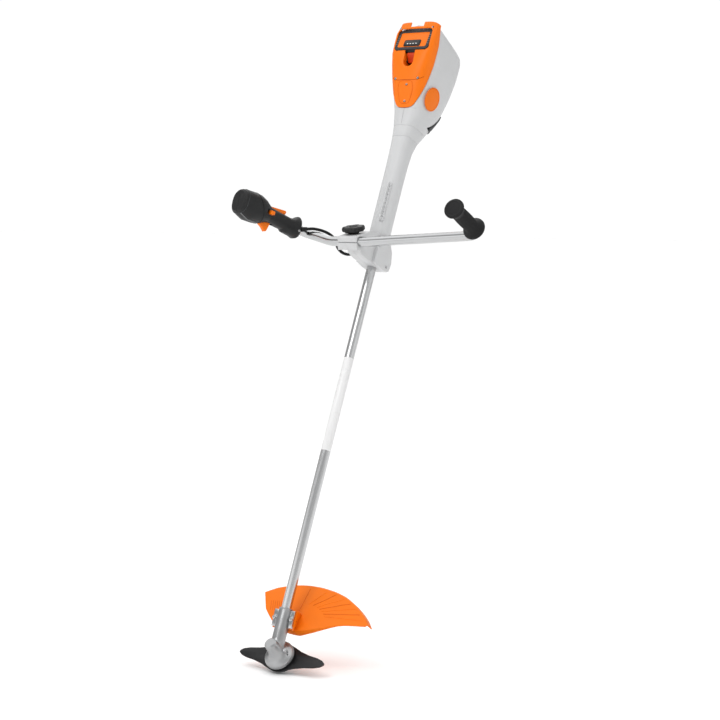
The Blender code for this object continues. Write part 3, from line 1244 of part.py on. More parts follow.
def controls():
    trigger_pin = Vector((0, -10, 132)) * MM
    trigger_frame = frame("trigger_pivot", RIGHT_HAND, Matrix.Translation(trigger_pin))
    trigger = plate("trigger", scaled([(3, 2), (2, -5), (-2, -36), (-16, -32), (-32, -26), (-34, -22),
                                       (-26, -12), (-20, 0), (-8, 3)]),
                    -5 * MM, 5 * MM, trigger_frame, "orange_plastic", axis="X")
    lockout_pin = Vector((0, 17, 110)) * MM
    lockout_frame = frame("lockout_pivot", RIGHT_HAND, Matrix.Translation(lockout_pin))
    lockout = plate("lockout_lever", scaled([(-3, 3), (4, 4), (8, 0), (13, -46), (14, -58), (11, -61),
                                             (4, -58), (-2, -20), (-3.4, -3)]),
                    -5.5 * MM, 5.5 * MM, lockout_frame, "orange_plastic", axis="X")
    slider = box("mode_slider", (19.4 * MM, -1.6 * MM, 109 * MM), (31.5 * MM, 7.6 * MM, 123 * MM),
                 RIGHT_HAND, "orange_plastic", 1 * MM)
    for holder, piece, name in ((trigger_frame, trigger, "trigger"), (lockout_frame, lockout, "lockout")):
        eye = cylinder(name + "_eye", 1.5 * MM + RUNNING, (-20 * MM, 0, 0), (20 * MM, 0, 0), holder,
                       None, 16)
        cut(piece, eye)
    return slider


# ---- cable ---------------------------------------------------------------------------
CABLE_ROUTE = [(-139, -153, 1078), (-128, -143, 1084), (-113, -131, 1089), (-93, -114, 1089),
               (-78, -99, 1083), (-70, -90, 1071), (-62, -83, 1057), (-50, -78, 1047),
               (-36, -71, 1044), (-24, -63, 1050), (-14, -57, 1056)]


def cable_room(name):
    """The cable's way into the bracket, with clearance all round and past its end."""
    start, end = (Vector(point) * MM for point in CABLE_ROUTE[-3::2])
    aim = (end - start).normalized()
    return cylinder("cable_room_" + name, CABLE_RADIUS + 2 * GAP, start - aim * 6 * MM,
                    end + aim * 2 * GAP, MACHINE, None, 20)


def control_cable():
    path = smooth_path([Vector(point) * MM for point in CABLE_ROUTE], 16 * MM)
    return rod("control_cable", path, CABLE_RADIUS, MACHINE, "black_rubber", 2)


def shaft_tube():
    return ring("shaft_tube", TUBE_RADIUS - TUBE_WALL, TUBE_RADIUS, TUBE_BOTTOM, TUBE_TOP, MACHINE,
                "silver_tube", 28)


def build():
    shaft_tube()
    drive_train()
    gear_head()
    cutting_tool()
    blade_guard()
    guard_bracket()
    casing()
    front_cap()
    battery_bay()
    battery()
    release_lever()
    motor()
    electronics()
    vent_grille()
    badge()
    harness_rail()
    bracket()
    bar_clamp()
    handlebar()
    left_grip()
    control_handle()
    controls()
    control_cable()


build()
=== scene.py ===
"""Battery brush cutter with a bike handle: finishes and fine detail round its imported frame."""

import json
import math

import bmesh
import bpy
from mathutils import Matrix, Vector
from mathutils.bvhtree import BVHTree


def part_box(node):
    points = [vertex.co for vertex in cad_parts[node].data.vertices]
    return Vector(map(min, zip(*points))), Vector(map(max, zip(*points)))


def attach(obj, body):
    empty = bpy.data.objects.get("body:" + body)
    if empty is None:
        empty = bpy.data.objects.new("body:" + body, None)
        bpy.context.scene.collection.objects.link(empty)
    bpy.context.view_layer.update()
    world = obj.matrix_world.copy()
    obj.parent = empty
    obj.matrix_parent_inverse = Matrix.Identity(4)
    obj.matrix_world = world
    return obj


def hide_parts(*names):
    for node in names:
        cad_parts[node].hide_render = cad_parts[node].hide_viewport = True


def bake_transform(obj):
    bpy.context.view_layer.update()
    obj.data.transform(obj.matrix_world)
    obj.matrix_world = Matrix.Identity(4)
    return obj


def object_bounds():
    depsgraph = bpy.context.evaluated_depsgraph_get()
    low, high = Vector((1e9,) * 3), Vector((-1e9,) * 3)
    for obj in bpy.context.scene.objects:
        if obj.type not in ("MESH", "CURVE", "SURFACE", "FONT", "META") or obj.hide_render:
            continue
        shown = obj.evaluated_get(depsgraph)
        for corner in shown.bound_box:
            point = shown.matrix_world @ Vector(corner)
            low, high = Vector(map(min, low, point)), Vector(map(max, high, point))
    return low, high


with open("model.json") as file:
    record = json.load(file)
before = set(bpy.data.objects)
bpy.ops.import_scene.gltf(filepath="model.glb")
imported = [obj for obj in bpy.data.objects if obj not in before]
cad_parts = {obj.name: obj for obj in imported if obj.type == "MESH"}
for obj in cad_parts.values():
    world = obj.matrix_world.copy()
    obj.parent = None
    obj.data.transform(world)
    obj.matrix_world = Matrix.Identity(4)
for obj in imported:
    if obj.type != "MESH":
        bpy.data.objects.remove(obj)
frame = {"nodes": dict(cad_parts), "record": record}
CAD_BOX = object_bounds()
NODES = frame["nodes"]
MM = 0.001

# ---- the machine's own axes: X to the left, -Y to the front, Z up the tube ------------
LEAN = math.radians(24.6)
HOOK_POINT = Vector((13, -31.5, 1215)) * MM
SPINDLE_TILT = math.radians(70)
BATTERY_FACE, BATTERY_TILT = Vector((0, -67, 1676)) * MM, math.radians(-10)
BAR_CENTRE, CLAMP_TILT = Vector((0, -120, 1060)) * MM, math.radians(35)
MACHINE = Matrix.Rotation(-LEAN, 4, "X") @ Matrix.Translation(-HOOK_POINT)
SPINDLE = MACHINE @ Matrix.Rotation(SPINDLE_TILT, 4, "X")
BAY = MACHINE @ Matrix.Translation(BATTERY_FACE) @ Matrix.Rotation(BATTERY_TILT, 4, "X")
CLAMP = MACHINE @ Matrix.Translation(BAR_CENTRE) @ Matrix.Rotation(CLAMP_TILT, 4, "X")


def axes_matrix(origin, z_axis):
    """A frame along z_axis whose Y leans up the tube."""
    z_axis = Vector(z_axis).normalized()
    y_axis = (Vector((0, 0, 1)) - z_axis.z * z_axis).normalized()
    turn = Matrix((y_axis.cross(z_axis), y_axis, z_axis)).transposed().to_4x4()
    return MACHINE @ Matrix.Translation(Vector(origin) * MM) @ turn


LEFT_HAND = axes_matrix((388, -158, 1083), (0.07, -1, 0))
RIGHT_HAND = axes_matrix((-160, -151, 1081), (-40, -209, -19))


# ---- shared shader groups -------------------------------------------------------------
CELL_SHARE = 0.6                     # of the cells in the grain's height
MOTTLE_RANGE = (0.3, 0.7)            # noise that becomes the mottle's 0 and 1
EDGE_RANGE = (0.53, 0.62)            # pointiness of an edge that starts to rub, and is bare
PATCH_RANGE = (0.5, 0.72)
SCUFF_RANGE, SCUFF_SHARE = (0.66, 0.8), 0.25
BROAD_LINES = 0.12                   # scale of the streaks against the fine lines


def new_group(name, inputs, outputs):
    group = bpy.data.node_groups.new(name, "ShaderNodeTree")
    for label, kind, default in inputs:
        socket = group.interface.new_socket(label, in_out="INPUT", socket_type=kind)
        socket.default_value = default
    for label, kind in outputs:
        group.interface.new_socket(label, in_out="OUTPUT", socket_type=kind)
    return group, group.nodes.new("NodeGroupInput"), group.nodes.new("NodeGroupOutput")


def node(tree, kind, **values):
    made = tree.nodes.new(kind)
    for key, value in values.items():
        setattr(made, key, value)
    return made


def noise(tree, vector, scale, detail=3.0, roughness=0.55):
    made = node(tree, "ShaderNodeTexNoise")
    made.inputs["Detail"].default_value = detail
    made.inputs["Roughness"].default_value = roughness
    tree.links.new(vector, made.inputs["Vector"])
    if isinstance(scale, (int, float)):
        made.inputs["Scale"].default_value = scale
    else:
        tree.links.new(scale, made.inputs["Scale"])
    return made.outputs["Fac"]


def ramp(tree, value, low, high, to_low=0.0, to_high=1.0):
    made = node(tree, "ShaderNodeMapRange")
    tree.links.new(value, made.inputs["Value"])
    for label, number in (("From Min", low), ("From Max", high), ("To Min", to_low),
                          ("To Max", to_high)):
        made.inputs[label].default_value = number
    return made.outputs["Result"]


def maths(tree, operation, first, second):
    made = node(tree, "ShaderNodeMath", operation=operation)
    for socket, value in zip(made.inputs, (first, second)):
        if isinstance(value, (int, float)):
            socket.default_value = value
        else:
            tree.links.new(value, socket)
    return made.outputs["Value"]


# the colour sockets of a Mix node, which also has sockets for numbers and vectors
MIX_FACTOR, MIX_A, MIX_B, MIX_RESULT = 0, 6, 7, 2


def mix_colour(tree, factor, first, second):
    made = node(tree, "ShaderNodeMix", data_type="RGBA")
    for place, value in ((MIX_FACTOR, factor), (MIX_A, first), (MIX_B, second)):
        socket = made.inputs[place]
        if isinstance(value, tuple):
            socket.default_value = value + (1,)
        elif isinstance(value, (int, float)):
            socket.default_value = value
        else:
            tree.links.new(value, socket)
    return made.outputs[MIX_RESULT]


def grain_group():
    """Fine moulded or cast grain: a height, and a slow mottle from 0 to 1."""
    group, source, out = new_group(
        "surface_grain",
        (("Scale", "NodeSocketFloat", 900.0), ("Mottle Scale", "NodeSocketFloat", 14.0)),
        (("Height", "NodeSocketFloat"), ("Mottle", "NodeSocketFloat")))
    place = node(group, "ShaderNodeTexCoord").outputs["Object"]
    cells = node(group, "ShaderNodeTexVoronoi")
    group.links.new(place, cells.inputs["Vector"])
    group.links.new(source.outputs["Scale"], cells.inputs["Scale"])
    fine = noise(group, place, source.outputs["Scale"], 2.0)
    height = maths(group, "ADD", maths(group, "MULTIPLY", cells.outputs["Distance"], CELL_SHARE),
                   fine)
    group.links.new(height, out.inputs["Height"])
    slow = noise(group, place, source.outputs["Mottle Scale"], 5.0)
    group.links.new(ramp(group, slow, *MOTTLE_RANGE), out.inputs["Mottle"])
    return group


def wear_group():
    """Rubbed edges and faint scuffs: a mask from 0 to 1."""
    group, source, out = new_group(
        "edge_wear", (("Scale", "NodeSocketFloat", 60.0), ("Amount", "NodeSocketFloat", 0.5)),
        (("Mask", "NodeSocketFloat"),))
    place = node(group, "ShaderNodeTexCoord").outputs["Object"]
    pointed = node(group, "ShaderNodeNewGeometry").outputs["Pointiness"]
    edge = ramp(group, pointed, *EDGE_RANGE)
    patch = ramp(group, noise(group, place, source.outputs["Scale"], 6.0, 0.7), *PATCH_RANGE)
    finer = maths(group, "MULTIPLY", source.outputs["Scale"], 4.0)
    scuff = ramp(group, noise(group, place, finer, 4.0, 0.8), *SCUFF_RANGE)
    both = maths(group, "ADD", maths(group, "MULTIPLY", edge, patch),
                 maths(group, "MULTIPLY", scuff, maths(group, "MULTIPLY", patch, SCUFF_SHARE)))
    group.links.new(maths(group, "MULTIPLY", both, source.outputs["Amount"]), out.inputs["Mask"])
    return group


def brush_group():
    """Fine lines drawn along the tube's length: a height and a streak from 0 to 1."""
    group, source, out = new_group(
        "drawn_lines",
        (("Scale", "NodeSocketFloat", 1500.0), ("Stretch", "NodeSocketFloat", 0.02)),
        (("Height", "NodeSocketFloat"), ("Streak", "NodeSocketFloat")))
    place = node(group, "ShaderNodeTexCoord").outputs["Object"]
    turn = node(group, "ShaderNodeMapping")
    turn.inputs["Rotation"].default_value = (LEAN, 0, 0)
    group.links.new(place, turn.inputs["Vector"])
    squeeze = node(group, "ShaderNodeCombineXYZ")
    squeeze.inputs["X"].default_value = 1.0
    squeeze.inputs["Y"].default_value = 1.0
    group.links.new(source.outputs["Stretch"], squeeze.inputs["Z"])
    scaled = node(group, "ShaderNodeVectorMath", operation="MULTIPLY")
    group.links.new(turn.outputs["Vector"], scaled.inputs[0])
    group.links.new(squeeze.outputs["Vector"], scaled.inputs[1])
    lines = noise(group, scaled.outputs["Vector"], source.outputs["Scale"], 3.0)
    group.links.new(lines, out.inputs["Height"])
    broad = noise(group, scaled.outputs["Vector"],
                  maths(group, "MULTIPLY", source.outputs["Scale"], BROAD_LINES), 4.0)
    group.links.new(ramp(group, broad, *MOTTLE_RANGE), out.inputs["Streak"])
    return group


GRAIN, WEAR, BRUSH = grain_group(), wear_group(), brush_group()


def use_group(tree, group, **values):
    made = node(tree, "ShaderNodeGroup")
    made.node_tree = group
    for label, value in values.items():
        made.inputs[label.replace("_", " ")].default_value = value
    return made


COAT_ROUGHNESS = 0.12
MOTTLE_SCALE = 16.0
ROUGHNESS_SPREAD = 0.06              # either side of a material's roughness
RUBBED_ROUGHNESS = 0.08              # what rubbing adds to it


def finish(name, colour, roughness, metallic=0.0, grain=900.0, bump=0.12, shade=0.9, worn=None,
           wear=0.4, coat=0.0, drawn=False, bump_distance=0.0004, sheen=0.5):
    """A material: mottled colour, rubbed edges, and a bump of moulded grain or drawn lines."""
    material = bpy.data.materials.new(name)
    material.use_nodes = True
    tree = material.node_tree
    shader = tree.nodes["Principled BSDF"]
    shader.inputs["Metallic"].default_value = metallic
    shader.inputs["Coat Weight"].default_value = coat
    shader.inputs["Coat Roughness"].default_value = COAT_ROUGHNESS
    shader.inputs["Specular IOR Level"].default_value = sheen
    grains = use_group(tree, GRAIN, Scale=grain, Mottle_Scale=MOTTLE_SCALE)
    mottle, height = grains.outputs["Mottle"], grains.outputs["Height"]
    if drawn:
        lines = use_group(tree, BRUSH)
        mottle, height = lines.outputs["Streak"], lines.outputs["Height"]
    dark = tuple(channel * shade for channel in colour)
    base = mix_colour(tree, mottle, dark, colour)
    rubbed = use_group(tree, WEAR, Amount=wear).outputs["Mask"]
    worn = worn or tuple(min(1, channel * 1.25 + 0.03) for channel in colour)
    tree.links.new(mix_colour(tree, rubbed, base, worn), shader.inputs["Base Color"])
    uneven = ramp(tree, mottle, 0, 1, roughness - ROUGHNESS_SPREAD, roughness + ROUGHNESS_SPREAD)
    rough = maths(tree, "ADD", uneven, maths(tree, "MULTIPLY", rubbed, RUBBED_ROUGHNESS))
    tree.links.new(rough, shader.inputs["Roughness"])
    relief = node(tree, "ShaderNodeBump")
    relief.inputs["Strength"].default_value = bump
    relief.inputs["Distance"].default_value = bump_distance
    tree.links.new(height, relief.inputs["Height"])
    tree.links.new(relief.outputs["Normal"], shader.inputs["Normal"])
    return material


ORANGE = finish("moulded_orange", (0.86, 0.172, 0.001), 0.38, bump=0.06, shade=0.94, sheen=0.22,
                worn=(0.9, 0.25, 0.02))
GUARD_ORANGE = finish("guard_orange", (0.86, 0.175, 0.001), 0.46, bump=0.08, shade=0.92,
                      worn=(0.9, 0.28, 0.03), sheen=0.2)
LIGHT_GREY = finish("moulded_light_grey", (0.555, 0.56, 0.565), 0.44, bump=0.10, shade=0.96,
                    sheen=0.35)
BLACK = finish("moulded_black", (0.010, 0.0105, 0.011), 0.44, bump=0.18, shade=0.8,
               worn=(0.05, 0.05, 0.05), sheen=0.28)
DARK_GREY = finish("moulded_dark_grey", (0.035, 0.037, 0.04), 0.5, bump=0.2, shade=0.85, sheen=0.3)
MID_GREY = finish("moulded_mid_grey", (0.13, 0.135, 0.14), 0.5, bump=0.2, shade=0.9)
RUBBER = finish("grip_rubber", (0.009, 0.009, 0.0095), 0.66, grain=1600.0, bump=0.3, shade=0.8,
                worn=(0.04, 0.04, 0.04), sheen=0.25)
RED = finish("lever_red", (0.62, 0.045, 0.002), 0.38, bump=0.06, sheen=0.25)
SILVER = finish("drawn_silver", (0.56, 0.565, 0.57), 0.24, metallic=1.0, bump=0.05, shade=0.93,
                drawn=True, worn=(0.70, 0.70, 0.71))
BAR_SILVER = finish("satin_silver", (0.50, 0.505, 0.51), 0.2, metallic=1.0, grain=1400.0, bump=0.04,
                    shade=0.94)
CAST = finish("cast_silver", (0.40, 0.405, 0.41), 0.36, metallic=0.9, grain=420.0, bump=0.3,
              shade=0.84, worn=(0.62, 0.62, 0.62), bump_distance=0.0005)
STEEL = finish("zinc_steel", (0.62, 0.62, 0.63), 0.26, metallic=1.0, bump=0.05)
GUN = finish("blacked_steel", (0.02, 0.02, 0.022), 0.36, metallic=0.5, grain=700.0, bump=0.12,
             worn=(0.28, 0.28, 0.29), wear=0.7)
RIDER = finish("rider_grey", (0.06, 0.062, 0.065), 0.42, grain=700.0, bump=0.12, sheen=0.4)
BLADE = finish("blade_black", (0.009, 0.009, 0.01), 0.36, grain=700.0, bump=0.1,
               worn=(0.2, 0.2, 0.2), wear=0.6, sheen=0.3)
WHITE_FILM = finish("white_film", (0.74, 0.74, 0.74), 0.3, grain=2200.0, bump=0.02, shade=0.98,
                    wear=0.1)
GLASS_BLACK = finish("display_black", (0.006, 0.006, 0.008), 0.12, bump=0.01, coat=0.3, sheen=0.3)
LAMP = finish("lamp_white", (0.75, 0.77, 0.75), 0.25, bump=0.02)
COPPER = finish("winding_copper", (0.7, 0.33, 0.18), 0.4, metallic=1.0, bump=0.2)
BOARD = finish("board_green", (0.03, 0.16, 0.07), 0.5, bump=0.1)
# black: painted shade, the disc under each recessed screw that stands for the shade of its pocket
SHADOW_BLACK = finish("joint_shadow", (0.01, 0.01, 0.01), 0.8, bump=0.1, sheen=0.1)
# darker grey: painted shade in the dish's turned grooves, and the dark joint line of the shells'
# seam
GREY_SEAM_AND_GROOVE_SHADE = finish("grey_seam_and_groove_shade", (0.30, 0.305, 0.31), 0.6, bump=0.1)
# dark orange: painted shade in the groove of the step above the tongue
ORANGE_GROOVE_SHADE = finish("orange_groove_shade", (0.40, 0.055, 0.001), 0.55, bump=0.1, sheen=0.15)
# darker orange: painted shade for the grooves, creases and relief lines of the orange mouldings
ORANGE_PAINTED_SHADE = finish("orange_painted_shade", (0.66, 0.115, 0.001), 0.46, bump=0.08, sheen=0.15)

SLOT_FINISH = {
    "orange_plastic": ORANGE, "light_grey_plastic": LIGHT_GREY, "black_plastic": BLACK,
    "black_rubber": RUBBER, "dark_grey_plastic": DARK_GREY, "red_plastic": RED,
    "silver_tube": SILVER, "cast_aluminium": CAST, "steel": STEEL, "black_steel": GUN,
    "copper": COPPER, "brass": COPPER, "board_green": BOARD,
}
# nodes whose finish isn't that of their slot
NODE_FINISH = {
    "guard": GUARD_ORANGE, "badge_disc": GUARD_ORANGE, "guard_bracket": GUARD_ORANGE,
    "handlebar_tube": BAR_SILVER, "guard_strap": BAR_SILVER, "cutting_blade": BLADE,
    "battery_face_frame": DARK_GREY, "rider_plate": RIDER, "blade_nut": RIDER,
    "thrust_plate": BLACK,
}
# the edge radius of a node in millimetres, where it isn't EDGE_RADIUS
EDGE_RADIUS = 0.3
EDGE = {"guard": 0.7, "control_handle_left": 0.0, "control_handle_right": 0.0,
        "battery_frame_cap": 0.8, "cutting_blade": 0.25, "clamp_knob": 1.0, "left_grip": 0.4,
        "housing_left_shell": 0.5, "housing_right_shell": 0.5, "clamp_jaw": 0.8}


CURVE_ANGLE = math.radians(32)       # faces that meet at less than this shade as one curve
EDGE_ANGLE = math.radians(38)        # edges sharper than this get a radius
WELD_DISTANCE = 0.01 * MM


def smooth(piece, edge=0.0):
    """Rounds the piece's edges by edge millimetres and shades its curves smoothly."""
    piece.data.polygons.foreach_set("use_smooth", [True] * len(piece.data.polygons))
    weld = piece.modifiers.new("weld", "WELD")
    weld.merge_threshold = WELD_DISTANCE
    if edge:
        bevel = piece.modifiers.new("edge_radius", "BEVEL")
        bevel.width = edge * MM
        bevel.segments = 2
        bevel.limit_method = "ANGLE"
        bevel.angle_limit = EDGE_ANGLE
        bevel.use_clamp_overlap = True
    split = piece.modifiers.new("crisp_edges", "EDGE_SPLIT")
    split.split_angle = CURVE_ANGLE
    return piece


def dress_frame():
    """Gives each node of the frame its finish and the radius of its edges."""
    slots = {part["node"]: part["material_slot"] for part in frame["record"]["subparts"]}
    for name, piece in NODES.items():
        material = NODE_FINISH.get(name, SLOT_FINISH[slots[name]])
        if not piece.data.materials:
            piece.data.materials.append(material)
        for i in range(len(piece.data.materials)):
            piece.data.materials[i] = material
        smooth(piece, EDGE.get(name, EDGE_RADIUS))


# ---- making pieces --------------------------------------------------------------------
def facing(place, aim):
    """A frame at a world point whose Z looks along aim."""
    return Matrix.Translation(place) @ Vector(aim).to_track_quat("Z", "Y").to_matrix().to_4x4()


def curve_point(a, b, c, d, t):
    """The point a share t of the way from b to c on a smooth curve through a, b, c and d."""
    return 0.5 * (2 * b + (c - a) * t + (2 * a - 5 * b + 4 * c - d) * t * t
                  + (3 * b - a - 3 * c + d) * t ** 3)


def piece_from(bm, name, matrix, material, body, edge=0.0):
    mesh = bpy.data.meshes.new(name)
    bmesh.ops.recalc_face_normals(bm, faces=bm.faces)
    bm.transform(matrix)
    bm.to_mesh(mesh)
    bm.free()
    made = bpy.data.objects.new(name, mesh)
    bpy.context.scene.collection.objects.link(made)
    mesh.materials.append(material)
    smooth(made, edge)
    if body:
        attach(made, body)
    return made


def lofted(bm, rings, caps=True):
    """Joins closed rings of points into a skin."""
    rows = [[bm.verts.new(point) for point in row] for row in rings]
    for first, second in zip(rows, rows[1:]):
        count = len(first)
        for i in range(count):
            j = (i + 1) % count
            bm.faces.new((first[i], first[j], second[j], second[i]))
    if caps:
        bm.faces.new(rows[0][::-1])
        bm.faces.new(rows[-1])
    return rows


def circle(radius, height, count):
    return [Vector((radius * math.cos(2 * math.pi * i / count),
                    radius * math.sin(2 * math.pi * i / count), height)) * MM
            for i in range(count)]


def turned(name, profile, matrix, material, body, count=40):
    """A turned piece: (radius, height) points in millimetres, closed by flat ends."""
    bm = bmesh.new()
    lofted(bm, [circle(radius, height, count) for radius, height in profile])
    return piece_from(bm, name, matrix, material, body)


def band(name, profile, matrix, material, body, count=40):
    """A ring: its (radius, height) outline closes on itself."""
    bm = bmesh.new()
    rows = lofted(bm, [circle(radius, height, count) for radius, height in profile], caps=False)
    first, last = rows[0], rows[-1]
    for i in range(count):
        j = (i + 1) % count
        bm.faces.new((last[i], last[j], first[j], first[i]))
    return piece_from(bm, name, matrix, material, body)


CORNER_STEPS = 5


def rounded(width, height, radius):
    """The outline of a rectangle with round corners, in millimetres."""
    points = []
    for corner in range(4):
        cx = (width / 2 - radius) * (1 if corner in (0, 3) else -1)
        cy = (height / 2 - radius) * (1 if corner in (0, 1) else -1)
        for i in range(CORNER_STEPS + 1):
            angle = math.radians(90 * corner + 90 * i / CORNER_STEPS)
            points.append((cx + radius * math.cos(angle), cy + radius * math.sin(angle)))
    return points


def face_plate(name, outline, front, back, place, material, edge=0.0):
    """A plate on the battery's face: its outline in millimetres, and its front and back."""
    x, z = place
    matrix = BAY @ Matrix.Translation(Vector((x, 0, z)) * MM)
    bm = bmesh.new()
    lofted(bm, [[Vector((u, depth, v)) * MM for u, v in outline] for depth in (front, back)])
    return piece_from(bm, name, matrix, material, "battery", edge)


def tube(name, points, radii, material, body, sides=10):
    """A round cord or bead through world points; radii is one radius, or one a point."""
    bm = bmesh.new()
    rings = []
    side = None
    for i, point in enumerate(points):
        ahead = points[min(i + 1, len(points) - 1)] - points[max(i - 1, 0)]
        ahead.normalize()
        if side is None:
            side = ahead.orthogonal().normalized()
        side = (side - ahead * side.dot(ahead)).normalized()
        other = ahead.cross(side)
        size = radii[i] if isinstance(radii, list) else radii
        rings.append([point + (side * math.cos(2 * math.pi * k / sides)
                               + other * math.sin(2 * math.pi * k / sides)) * size
                      for k in range(sides)])
    lofted(bm, rings)
    return piece_from(bm, name, Matrix.Identity(4), material, body)


def surface_of(*names):
    """A tree of the CAD nodes' faces for finding points on them."""
    vertices, faces = [], []
    for name in names:
        mesh = NODES[name].data
        start = len(vertices)
        vertices += [v.co.copy() for v in mesh.vertices]
        faces += [[start + i for i in polygon.vertices] for polygon in mesh.polygons]
    return BVHTree.FromPolygons(vertices, faces)


TO_FRONT = (MACHINE.to_3x3() @ Vector((0, -1, 0))).normalized()
BEFORE_FRONT = -200                  # millimetres, ahead of all that the front shows
LINE_STEP = 2.5                      # millimetres between the points of a moulded line
LINE_PROUD = -0.1
CAP_SKIN = surface_of("battery_frame_cap", "housing_left_shell", "housing_right_shell")


def on_front(x, z, proud):
    """The world point of the head's skin at (x, z) millimetres, looked at from the front."""
    start = MACHINE @ (Vector((x, BEFORE_FRONT, z)) * MM)
    hit, normal, _, _ = CAP_SKIN.ray_cast(start, -TO_FRONT)
    if hit is None:
        return None
    if normal.dot(TO_FRONT) < 0:
        normal = -normal
    return hit + normal * proud * MM


def front_line(name, points, radius, material):
    """A fine moulded line on the front, through (x, z) points."""
    path = []
    for (x0, z0), (x1, z1) in zip(points, points[1:]):
        count = max(1, round(math.hypot(x1 - x0, z1 - z0) / LINE_STEP))
        for i in range(count):
            share = i / count
            found = on_front(x0 + (x1 - x0) * share, z0 + (z1 - z0) * share, LINE_PROUD)
            if found:
                path.append(found)
    last = on_front(*points[-1], LINE_PROUD)
    if last:
        path.append(last)
    return tube(name, path, radius * MM, material, "machine", 8)


PANEL_RINGS = (1, 0.82, 0.6, 0.35, 0.12)     # shares of the outline, from its edge inwards


def front_panel(name, outline, proud, sink, material, edge):
    """A thin moulded panel that follows the front's curve; its outline is in (x, z)."""
    bm = bmesh.new()
    centre = Vector((sum(x for x, _ in outline), sum(z for _, z in outline))) / len(outline)
    rings = [[(centre.x + (x - centre.x) * share, centre.y + (z - centre.y) * share)
              for x, z in outline] for share in PANEL_RINGS]
    under = [[on_front(u, v, -sink) for u, v in rings[0]]]
    over = [[on_front(u, v, proud) for u, v in ring] for ring in rings]
    lofted(bm, under + over)
    return piece_from(bm, name, Matrix.Identity(4), material, "machine", edge)


def lobed_screw(name, place, aim, radius, body):
    """A round steel screw head with a six-lobed socket."""
    bm = bmesh.new()
    count = 36

    def star(size, height):
        ring = []
        for i in range(count):
            angle = 2 * math.pi * i / count
            reach = size * (0.86 + 0.14 * math.cos(6 * angle))
            ring.append(Vector((reach * math.cos(angle), reach * math.sin(angle), height)) * MM)
        return ring

    skirt, shoulder, top, floor = -1.2, 0.1, 0.5, -0.9
    lofted(bm, [circle(radius, skirt, count), circle(radius, shoulder, count),
                circle(radius * 0.9, top, count), star(radius * 0.56, top),
                star(radius * 0.52, floor)])
    return piece_from(bm, name, facing(place, aim), STEEL, body)


SCREW_PROUD = 0.3
POCKET_MARGIN = 1.2


def recessed_screw(name, place, aim, radius):
    """A zinc screw head on a black disc of painted shade, which stands for the shade of its round
    pocket in the machine's front.
    """
    pocket = radius + POCKET_MARGIN
    # the pocket is a flat black disc: painted shade
    turned(name + "_pocket", [(pocket, -1), (pocket, 0.05), (0.5, 0.05)], facing(place, aim),
           SHADOW_BLACK, "machine", 28)
    lobed_screw(name, place + Vector(aim).normalized() * SCREW_PROUD * MM, aim, radius, "machine")


# ---- camera and light -----------------------------------------------------------------
AZIMUTH, ELEVATION = math.radians(34), math.radians(5)
RIGHT = Vector((math.cos(AZIMUTH), math.sin(AZIMUTH), 0))
BACK = Vector((math.sin(AZIMUTH) * math.cos(ELEVATION), -math.cos(AZIMUTH) * math.cos(ELEVATION),
               math.sin(ELEVATION)))
UP = BACK.cross(RIGHT)
FOCAL_LENGTH, SENSOR_WIDTH = 96, 36          # millimetres
VIEW_LIMIT = 120                             # metres that the camera sees
GEAR_CENTRE_SEEN = (-0.2105, -0.72625, -4.8)  # metres right, up and back from the camera

# how bright the walls are, by the share of the way round from behind the machine
WALL_STOPS = ((0, 1.03), (0.035, 1.03), (0.075, 0.42), (0.17, 0.42), (0.23, 1.0), (0.27, 1.5),
              (0.38, 1.5), (0.43, 0.85), (0.55, 0.7), (0.66, 0.62), (0.72, 1.0), (0.78, 0.9),
              (0.84, 0.4), (0.925, 0.42), (0.965, 1.03), (1, 1.03))
WORLD_STRENGTH = 1.6
CEILING_STOPS = ((0.6, 0.3), (0.76, 0.92))   # height of the way up, and grey
CEILING_START, CEILING_FULL = 0.25, 0.42     # where the walls turn into the ceiling

# name, metres to the right, ahead and up from the machine's middle, size, watts
LIGHTS = (("key", -2.0, 2.2, 2.6, 1.6, 34), ("fill", 2.6, 1.8, 1.4, 2.4, 8),
          ("rim", 0.6, -2.6, 2.2, 1.8, 14))
FLOOR_HALF = 40                              # metres
FLOOR_GAP = 0.0005


def studio_walls(tree):
    """A white backdrop, a bright wall on the left, and dark flags that give metal its edges."""
    way = node(tree, "ShaderNodeTexCoord").outputs["Generated"]
    parts = []
    for axis in (RIGHT, Vector((RIGHT.y, -RIGHT.x, 0))):
        dot = node(tree, "ShaderNodeVectorMath", operation="DOT_PRODUCT")
        tree.links.new(way, dot.inputs[0])
        dot.inputs[1].default_value = axis
        parts.append(dot.outputs["Value"])
    round_about = maths(tree, "ARCTAN2", parts[0], parts[1])
    walls = node(tree, "ShaderNodeValToRGB")
    tree.links.new(ramp(tree, round_about, -math.pi, math.pi), walls.inputs["Fac"])
    upward = node(tree, "ShaderNodeSeparateXYZ")
    tree.links.new(way, upward.inputs["Vector"])
    overhead = ramp(tree, upward.outputs["Z"], CEILING_START, CEILING_FULL)
    ceiling = node(tree, "ShaderNodeValToRGB")
    tree.links.new(upward.outputs["Z"], ceiling.inputs["Fac"])
    levels = [(place, level / WORLD_STRENGTH) for place, level in WALL_STOPS]
    for shade, stops in ((walls, levels), (ceiling, CEILING_STOPS)):
        elements = shade.color_ramp.elements
        while len(elements) < len(stops):
            elements.new(0.5)
        for element, (place, level) in zip(elements, stops):
            element.position = place
            element.color = (level, level, level, 1)
    light = mix_colour(tree, overhead, walls.outputs["Color"], ceiling.outputs["Color"])
    tree.links.new(light, tree.nodes["Background"].inputs["Color"])
    tree.nodes["Background"].inputs["Strength"].default_value = WORLD_STRENGTH


